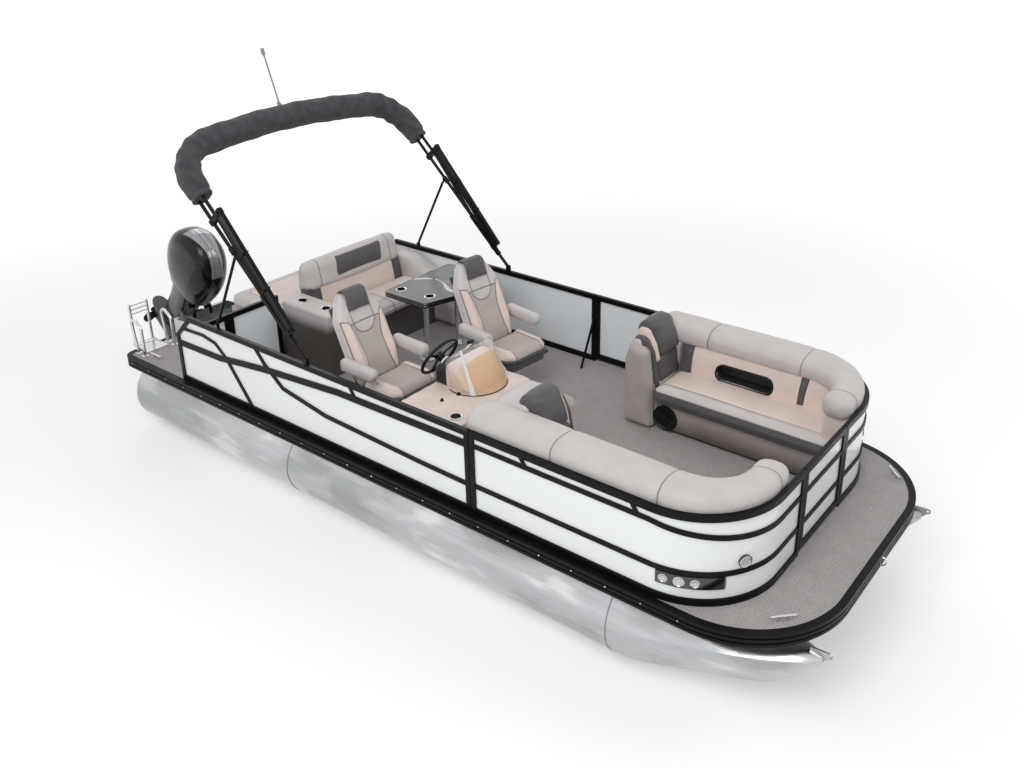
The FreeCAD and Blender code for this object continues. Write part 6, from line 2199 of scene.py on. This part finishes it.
    def _arms(self, name: str, level: Axes) -> None:
        """Builds the two padded arms.

        Args:
            name: Which seat.
            level: The seat's frame on the deck.
        """
        corners = [(-0.212, 0.545), (0.130, 0.535), (0.158, 0.592), (0.136, 0.640), (-0.212, 0.652)]
        outline = rounded_outline(corners, [0.02, 0.030, 0.03, 0.030, 0.03], 0.01)
        side = axes(level.origin, level.u, -level.v)
        for label, low, high in (("port", -0.324, -0.240), ("starboard", 0.240, 0.324)):
            arm = Pad(outline, side, low, high, 0.028, 0.004, 0.003, 0.028, 0.02)
            fit(arm.make(f"{name}_arm_{label}", POD_VINYL), name + "_seat", "vinyl_greige", fill=0.8)


def smooth_line(points: np.ndarray, count: int) -> np.ndarray:
    """Runs a smooth curve through points and samples it evenly.

    Args:
        points: The points it passes through.
        count: How many samples to take.

    Returns:
        The samples.
    """
    padded = np.vstack([2 * points[0] - points[1], points, 2 * points[-1] - points[-2]])
    dense = []
    for a, b, c, d in zip(padded, padded[1:], padded[2:], padded[3:]):
        for t in np.linspace(0, 1, 12, endpoint=False):
            bent = (2 * a - 5 * b + 4 * c - d) * t**2 + (3 * b - a - 3 * c + d) * t**3
            dense.append(0.5 * (2 * b + (c - a) * t + bent))
    line = np.array(dense + [points[-1]])
    return sample(line, np.linspace(0, run_lengths(line)[-1], count))


@dataclass(frozen=True)
class Helm:
    """Console, dash, screen and wheel, in metres and radians."""

    aft: float = 3.560
    front: float = 4.150
    inner: float = -0.330
    cup: tuple[float, float] = (4.036, -1.097)
    knobs: tuple[tuple[float, float, float], ...] = ((3.837, -0.842, 0.013), (3.80, -0.985, 0.010))
    dash_top: float = 0.796
    dash_middle: float = -0.578
    dash_half: float = 0.222
    dials: tuple[tuple[float, float, float], ...] = ((-0.13, 0.766, 0.044), (0.13, 0.766, 0.044), (0.0, 0.745, 0.030))
    hub: tuple[float, float, float] = (3.455, -0.630, 0.735)
    column_fall: float = math.radians(30)
    throttle: tuple[float, float, float] = (3.56, -0.352, 0.640)
    screen_centre: tuple[float, float] = (3.815, -0.612)
    screen_levels: tuple[float, float] = (0.622, 0.975)
    sweep: float = math.radians(112)
    screen_rows: int = 16
    screen_columns: int = 56
    screen_sheet: float = 0.005

    def dress(self) -> None:
        """Builds the helm."""
        self._console()
        self._dash()
        self._screen()
        repaint("steering_wheel", Plastic("wheel_black", Palette.SATIN_BLACK, 0.35))

    def _console(self) -> None:
        """Builds the console's moulded body, its blush top and what is set into it."""
        x0, x1, y0, y1 = self.aft, self.front, 0.002 - PLAN.fence_in, self.inner
        profile = [(x0 + 0.06, 0.004), (x1, 0.004), (x1, 0.600), (x0 + 0.004, 0.600)]
        middle, half = (y0 + y1) / 2, (y1 - y0) / 2
        body = side_pad(profile, [0.03, 0.03, 0.02, 0.03], 0.02, middle, half, 0.03, 0.0, 0.004, 0.05)
        finish = ShadedBody("console_body", Palette.UMBER, Palette.CHARCOAL, SITE.deck, SITE.deck + 0.5)
        fit(body.make("console_body", finish), "root", "moulding_dark", ["helm_console"])
        top = rectangle((x0, y0), (x1, y1), [0.03, 0.03, 0.09, 0.09], 0.015)
        tray = Pad(top, upright(SITE.at(0, 0, 0)), 0.592, 0.620, 0.014, 0.0, 0.0, 0.008, 0.04)
        fit(tray.make("console_tray", Plastic("console_blush", Palette.BLUSH, 0.42)), "root", "moulding_greige")
        cup_rim(SITE.at(*self.cup, 0.6215), "console_cup")
        cup_well(SITE.at(*self.cup, 0.6245), "console_cup_well")
        knob = Form()
        for x, y, radius in self.knobs:
            shares = [(1.5, 0.0), (1.5, 0.003), (1.0, 0.005), (0.9, 0.018), (0.5, 0.020)]
            lathe(knob, upright(SITE.at(x, y, 0.620)), [(radius * share, height) for share, height in shares], 20)
        fit(knob.make("console_knobs", DASH_BLACK), "root", "moulding_dark")

    def _dash(self) -> None:
        """Builds the blush cowl of the dash, its dark panel with dials towards the driver, and the column."""
        x0, top, middle = self.aft, self.dash_top, self.dash_middle
        profile = [(x0 - 0.020, 0.600), (x0 + 0.40, 0.600), (x0 + 0.36, 0.640), (x0 + 0.20, top), (x0 + 0.10, top)]
        profile.append((x0 - 0.010, 0.735))
        radii = [0.01, 0.02, 0.03, 0.05, 0.04, 0.04]
        pod = side_pad(profile, radii, 0.012, middle, self.dash_half, 0.045, 0.0, 0.004, 0.02)
        zones = (Zone(Palette.SATIN_BLACK, lambda g: g.minus(x0 + 0.115, g.local("u"))),)
        fit(pod.make("dash_pod", Vinyl("dash_cowl", Palette.BLUSH, zones)), "root", "moulding_dark")
        facing = Vector((-0.90, 0, 0.42))
        for i, (y, level, radius) in enumerate(self.dials):
            face = axes(SITE.at(x0 + 0.026, middle + y, level), (0, 1, 0), facing)
            rim = [(0.001, -0.004), (radius * 0.8, -0.004), (radius * 0.86, 0.006), (radius, 0.004)]
            dial = lathe(Form(), face, rim + [(radius * 1.04, -0.010)], 32)
            fit(dial.make(f"dash_dial_{i}", STAINLESS), "root", "stainless")
        column = Form()
        hub = SITE.at(*self.hub)
        way = Vector((math.cos(self.column_fall), 0, -math.sin(self.column_fall)))
        tube(column, [hub + way * run for run in (0.021, 0.07, 0.12)], [0.024, 0.026, 0.036], 20)
        foot = SITE.at(*self.throttle)
        lever = ((0.02, 0, -0.02), (0, -0.004, 0.05), (-0.03, -0.004, 0.13))
        tube(column, [foot + Vector(p) for p in lever], [0.020, 0.012, 0.009], 14)
        tube(column, [foot + Vector((-0.030, y, 0.134)) for y in (-0.030, 0.018)], 0.015, 14)
        fit(column.make("steering_column", DASH_BLACK), "root", "moulding_dark")

    def _spot(self, turn: float, up: float, out: float) -> list[float]:
        """Finds a place on the screen.

        Args:
            turn: How far round it from straight ahead.
            up: The share of its height.
            out: Metres outward from its outer face.

        Returns:
            The place.
        """
        share = up * (1 - 0.42 * (abs(turn) / self.sweep) ** 2.4)
        radius = 0.225 - 0.045 * share + out
        (x, y), (low, high) = self.screen_centre, self.screen_levels
        x += radius * math.cos(turn) - 0.105 * share
        return list(SITE.at(x, y + radius * 1.04 * math.sin(turn), low + (high - low) * share))

    def _screen(self) -> None:
        """Builds the screen that wraps the dash: amber below an arc, clear above it, with two pale strips of painted
        highlight at its bends.
        """
        rows, columns = self.screen_rows + 1, self.screen_columns + 1
        turns, shares = np.linspace(-self.sweep, self.sweep, columns), np.linspace(0, 1, rows)
        local = [(turn, up, 0.0) for up in shares for turn in turns]
        points = [self._spot(turn, up, out) for out in (0.0, -self.screen_sheet) for turn, up, _ in local]
        faces = sheets(rows, columns)
        ring, size = border(rows, columns), rows * columns
        faces += [(a, b, size + b, size + a) for a, b in zip(ring, ring[1:] + ring[:1])]
        sheet = Form().add(np.array(points), faces, np.array(local * 2))
        fit(sheet.make("windscreen_sheet", Tinted("amber_acrylic")), "root", "screen_smoke", ["windscreen"])
        # Two pale, mostly opaque strips set through the sheet: painted highlights where its bends catch the light.
        folds = Form()
        for turn in (-0.95, 0.78):
            rings = []
            for t in np.linspace(0.0, 1.0, 14):
                middle, half = turn - 0.10 * t, 0.075 - 0.030 * t
                corners = ((-half, 0.0015), (half, 0.0015), (half, -0.0075), (-half, -0.0075))
                rings.append(np.array([self._spot(middle + aside, t, out) for aside, out in corners]))
            skin(folds, rings)
        fit(folds.make("windscreen_folds", Acrylic("clear_fold", Palette.LENS, 0.25)), "root", "screen_smoke")
        foot = [Vector(self._spot(turn, 0.0, -0.002)) for turn in np.linspace(-self.sweep, self.sweep, 50)]
        fit(tube(Form(), foot, 0.005, 8).make("windscreen_gasket", DASH_BLACK), "root", "moulding_dark")


@dataclass(frozen=True)
class FoldedTop:
    """Frame, boot, props and stern light, in metres and radians.

    Places on the leaning top are given to port, along the main bow from its pivot, and forward of it.
    """

    lean: float = math.radians(46)
    pivot: tuple[float, float, float] = (2.614, 0.0, 0.690)
    rail: float = 1.2024
    tube_y: float = 1.2274
    crown: float = 2.138
    shoulder: float = 2.012
    boot_end: float = 1.560
    shoulder_radius: float = 0.370
    crown_radius: float = 5.200
    boot_centre: tuple[float, float] = (-0.020, 0.039)
    boot_half: tuple[float, float] = (0.114, 0.098)
    boot_sides: int = 56
    zip_line: tuple[float, float] = (-0.088, 0.097)
    sleeve_half: tuple[float, float] = (0.018, 0.031)
    foot_bolt: float = 0.240
    head_bolt: float = 1.336
    straps: tuple[float, ...] = (0.62, 0.95)

    def dress(self) -> None:
        """Gives the top its finishes and builds the boot."""
        for name in ("top_frame", "top_strut_starboard", "top_strut_port"):
            repaint(name, TUBE_BLACK)
        repaint("stern_light", Coat("pole_grey", Palette.SILVER, 0.35))
        self._boot()
        self._sleeves()
        self._knuckles()

    def _spot(self, y: float, along: float, ahead: float) -> Vector:
        """Finds a place on the leaning top."""
        c, s = math.cos(self.lean), math.sin(self.lean)
        return SITE.at(*self.pivot) + Vector((ahead * c - along * s, y, along * c + ahead * s))

    def _ring(self, corners: Iterable[tuple[float, float, float]]) -> np.ndarray:
        """Makes a ring of points from places on the leaning top."""
        return np.array([list(self._spot(*corner)) for corner in corners])

    def _line(self) -> np.ndarray:
        """Draws the boot's centre line as (y, along) rows, from starboard to port.

        Returns:
            The rows.
        """
        rail, end, shoulder = self.rail, self.boot_end, self.shoulder
        corners = [(-rail, end), (-rail, shoulder), (0.0, self.crown), (rail, shoulder), (rail, end)]
        radii = [0.0, self.shoulder_radius, self.crown_radius, self.shoulder_radius, 0.0]
        path = []
        for i, (here, radius) in enumerate(zip(map(Vector, corners), radii)):
            if not radius:
                path.append(here)
                continue
            before = (Vector(corners[i - 1]) - here).normalized()
            after = (Vector(corners[i + 1]) - here).normalized()
            half = before.angle(after) / 2
            centre = here + (before + after).normalized() * (radius / math.sin(half))
            start = here + before * (radius / math.tan(half)) - centre
            end_arm = here + after * (radius / math.tan(half)) - centre
            path += [centre + start.lerp(end_arm, k / 8).normalized() * radius for k in range(9)]
        return smooth_line(np.array([list(p) for p in path]), 240)

    def _boot(self) -> None:
        """Builds the boot: a stuffed sleeve over the crown, gathered at its corners, with a seam and a zip."""
        line = self._line()
        lengths = run_lengths(line)
        total, sides = lengths[-1], self.boot_sides
        sections, local = [], []
        for i, ((y, s), run) in enumerate(zip(line, lengths)):
            way = Vector(line[min(i + 1, len(line) - 1)] - line[max(i - 1, 0)]).normalized()
            gap = min(run, total - run)
            full = (0.80 + 0.20 * min(1.0, gap / 0.5) ** 0.7) * (1.0 - 0.10 * bell(gap, 0.035, 0.012))
            bunch = bell(gap, 0.42, 0.18)
            seam = bell(run, total / 2, 0.006)
            ring = []
            for k, (c, d) in enumerate(circle(sides)):
                turn = 2 * math.pi * k / sides
                ripple = 0.0065 * math.sin(run * 46 + 4 * c + 2 * d) * bunch + 0.003 * math.sin(run * 15 + 2.3 * turn)
                ripple += 0.002 * math.sin(run * 31 - 5 * turn) - 0.004 * seam
                depth = math.copysign(abs(c) ** 0.70, c) * self.boot_half[0] * full + ripple * c
                width = math.copysign(abs(d) ** 0.78, d) * self.boot_half[1] * full + ripple * d
                along = s + self.boot_centre[0] + way.x * width
                ring.append((y - way.y * width, along, self.boot_centre[1] + depth))
            sections.append(self._ring(ring))
            rows = [np.full(sides, run - total / 2), np.linspace(0, 1, sides, endpoint=False), np.zeros(sides)]
            local.append(np.column_stack(rows))
        boot = skin(Form(), sections, local).make("boot_canvas", Canvas("canvas"))
        fit(boot, "folded_top", "canvas_charcoal", ["top_boot"], 0.6)
        path = [self._spot(y, s + self.zip_line[0], self.zip_line[1]) for y, s in line[24:-24]]
        fit(tube(Form(), path, 0.004, 6).make("boot_zip", SPEAKER_BLACK), "folded_top", "canvas_charcoal")

    def _sleeves(self) -> None:
        """Builds the folded forward bow: a flat double tube beside the main bow, with a bracket at each end."""
        form = Form()
        w, h, waist, groove = *self.sleeve_half, self.sleeve_half[0] * 0.86, 0.004
        section = [(-w, -h), (w, -h), (waist, -groove), (waist, groove), (w, h), (-w, h), (-waist, groove)]
        section.append((-waist, -groove))
        stations = ((self.foot_bolt, 0.052), (0.245, 0.052), (0.8, 0.096), (1.330, 0.138), (self.head_bolt, 0.138))
        for side in SIDES:
            y = side * self.tube_y
            rings = []
            for s, a in stations:
                squeeze = 0.7 if s in (self.foot_bolt, self.head_bolt) else 1.0
                rings.append(self._ring((y + dy * squeeze, s, a + da * squeeze) for dy, da in section))
            skin(form, rings)
            for s, a0, a1, tall in ((1.335, -0.024, 0.172, 0.024), (0.245, -0.020, 0.080, 0.020)):
                box = [(-0.020, -tall), (0.020, -tall), (0.020, tall), (-0.020, tall)]
                skin(form, [self._ring((y + dy, s + ds, a) for dy, ds in box) for a in (a0, a1)])
        fit(form.make("top_sleeves", TUBE_BLACK), "folded_top", "tube_black")

    def _knuckles(self) -> None:
        """Adds the bolts, knobs and straps where the folded tubes meet."""
        form = Form()
        up = self._spot(0, 1, 0) - self._spot(0, 0, 0)
        bolts = ((0.250, 0.050), (1.335, 0.140), (1.335, 0.0), (self.straps[0], 0.082), (self.straps[1], 0.108))
        for side in SIDES:
            y = side * self.tube_y
            for s, a in bolts:
                place = axes(self._spot(y + side * 0.019, s, a), up, Vector((0, side, 0)))
                lathe(form, place, [(0.014, -0.004), (0.014, 0.005), (0.009, 0.009), (0.003, 0.010)], 16)
            for s in self.straps:
                a = 0.052 + (s - self.foot_bolt) * 0.0789
                corners = ((-0.022, -0.034), (0.022, -0.034), (0.022, 0.034), (-0.022, 0.034))
                tube(form, [self._spot(y + dy, s, a + da) for dy, da in corners], 0.005, 8, closed=True)
        fit(form.make("top_knuckles", TUBE_BLACK), "folded_top", "tube_black")


@dataclass(frozen=True)
class Outboard:
    """The motor's finishes: how far it is tilted up, and the tilt tube's place from the deck's rear edge."""

    tilt: float = math.radians(38)
    pivot: tuple[float, float, float] = (-0.700, 0.0, -0.100)

    def dress(self) -> None:
        """Finishes the motor."""
        dark = Coat("motor_black", Palette.SATIN_BLACK, 0.30)
        repaint("engine_cowl", CowlPaint("motor_cowl", self.tilt, tuple(SITE.at(*self.pivot))))
        repaint("engine_leg", Coat("motor_grey", Palette.MOTOR_GREY, 0.30, gloss=0.5))
        for name in ("engine_clamp_bracket", "engine_swivel_bracket", "propeller"):
            repaint(name, dark)
        repaint("engine_block", Coat("iron", Palette.IRON, 0.6))


class Studio:
    """Floor, light and camera. The glow is the floor's own light, from near the boat to far from it."""

    FLOOR_REACH = 60.0
    FLOOR_GLOW = (5.0, 16.0, 0.30, 0.75)
    SURROUND = 0.54
    AIM = Vector((0.3, 0.0, 0.8))
    LAMP_SIZE = 6.0
    LAMPS = {
        "key": ((3.5, -7.0, 9.0), 480.0),
        "fill": ((9.0, 5.0, 7.0), 170.0),
        "back": ((-8.0, 6.0, 8.0), 150.0),
    }

    def dress(self) -> None:
        """Sets the stage."""
        self._floor()
        self._light()
        self._camera()

    @staticmethod
    def _seen(graph: Graph) -> bpy.types.NodeSocket:
        """Tells the rays that show the surroundings from those that light the boat.

        Args:
            graph: The node tree.

        Returns:
            One for camera, glossy and transmission rays.
        """
        rays = graph.node("ShaderNodeLightPath").outputs
        either = graph.most(rays["Is Camera Ray"], rays["Is Glossy Ray"])
        return graph.most(either, rays["Is Transmission Ray"])

    def _floor(self) -> None:
        """Lays a plain pale floor under the tubes that keeps the boat's shadow."""
        mesh = bpy.data.meshes.new("floor")
        corners = [(a * self.FLOOR_REACH, b * self.FLOOR_REACH, 0) for a, b in ((-1, -1), (1, -1), (1, 1), (-1, 1))]
        mesh.from_pydata(corners, [], [(0, 1, 2, 3)])
        graph = Graph("floor")
        level = graph.ramp(graph.vector("LENGTH", graph.place())["Value"], *self.FLOOR_GLOW)
        graph.set(base_color=Palette.FLOOR.value, roughness=0.9, specular_ior_level=0.1)
        graph.set(emission_color=(1.0, 1.0, 1.0), emission_strength=graph.times(self._seen(graph), level))
        mesh.materials.append(graph.material)
        link(bpy.data.objects.new("floor", mesh))

    def _lamp(self, name: str, place: tuple[float, float, float], power: float) -> None:
        """Sets up a square soft lamp aimed at the boat's middle.

        Args:
            name: Its name.
            place: Where it hangs.
            power: Its power in watts.
        """
        data = bpy.data.lights.new(name, "AREA")
        data.shape = "SQUARE"
        data.size = self.LAMP_SIZE
        data.energy = power
        lamp = link(bpy.data.objects.new(name, data))
        lamp.location = place
        lamp.rotation_mode = "QUATERNION"
        lamp.rotation_quaternion = (self.AIM - Vector(place)).to_track_quat("-Z", "Y")

    def _light(self) -> None:
        """Large soft lamps in a white surround that is seen brighter than it lights."""
        world = bpy.data.worlds.new("studio")
        world.use_nodes = True
        tree = world.node_tree
        background = tree.nodes["Background"]
        background.inputs["Color"].default_value = (1.0, 1.0, 1.0, 1.0)
        rays = tree.nodes.new("ShaderNodeLightPath").outputs
        shown = rays["Is Camera Ray"]
        for name in ("Is Glossy Ray", "Is Transmission Ray"):
            larger = tree.nodes.new("ShaderNodeMath")
            larger.operation = "MAXIMUM"
            tree.links.new(shown, larger.inputs[0])
            tree.links.new(rays[name], larger.inputs[1])
            shown = larger.outputs[0]
        level = tree.nodes.new("ShaderNodeMapRange")
        level.inputs["To Min"].default_value = self.SURROUND
        level.inputs["To Max"].default_value = 1.0
        tree.links.new(shown, level.inputs["Value"])
        tree.links.new(level.outputs["Result"], background.inputs["Strength"])
        bpy.context.scene.world = world
        for name, (place, power) in self.LAMPS.items():
            self._lamp(name, place, power)
        view = bpy.context.scene.view_settings
        view.view_transform = "Standard"
        view.look = "None"

    def _camera(self) -> None:
        """The photograph's viewpoint."""
        shot = Photo()
        azimuth, elevation, roll = (math.radians(a) for a in (shot.azimuth, shot.elevation, shot.roll))
        level = math.cos(elevation)
        back = Vector((math.sin(azimuth) * level, -math.cos(azimuth) * level, math.sin(elevation)))
        right = Vector((math.cos(azimuth), math.sin(azimuth), 0))
        up = back.cross(right)
        turned_right = right * math.cos(roll) + up * math.sin(roll)
        turned_up = up * math.cos(roll) - right * math.sin(roll)
        data = bpy.data.cameras.new("camera")
        data.sensor_width = 36.0
        data.lens = shot.focal / shot.width * data.sensor_width
        data.shift_x = (shot.width / 2 - shot.centre_x) / shot.width
        data.shift_y = (shot.centre_y - shot.height / 2) / shot.width
        data.clip_end = 200.0
        camera = link(bpy.data.objects.new("camera", data))
        rotation = Matrix((turned_right, turned_up, back)).transposed()
        camera.matrix_world = Matrix.Translation(SITE.at(*shot.eye)) @ rotation.to_4x4()
        bpy.context.scene.camera = camera


def main() -> None:
    """Dresses the boat and sets the stage."""
    for kind in (Hull, Lounges, RearSeating, BucketSeats, Helm, FoldedTop, Outboard, Fasteners, Studio):
        LOG.info("dressing %s", kind.__name__)
        kind().dress()
    STUFFING.run()


if __name__ == "__main__":
    main()
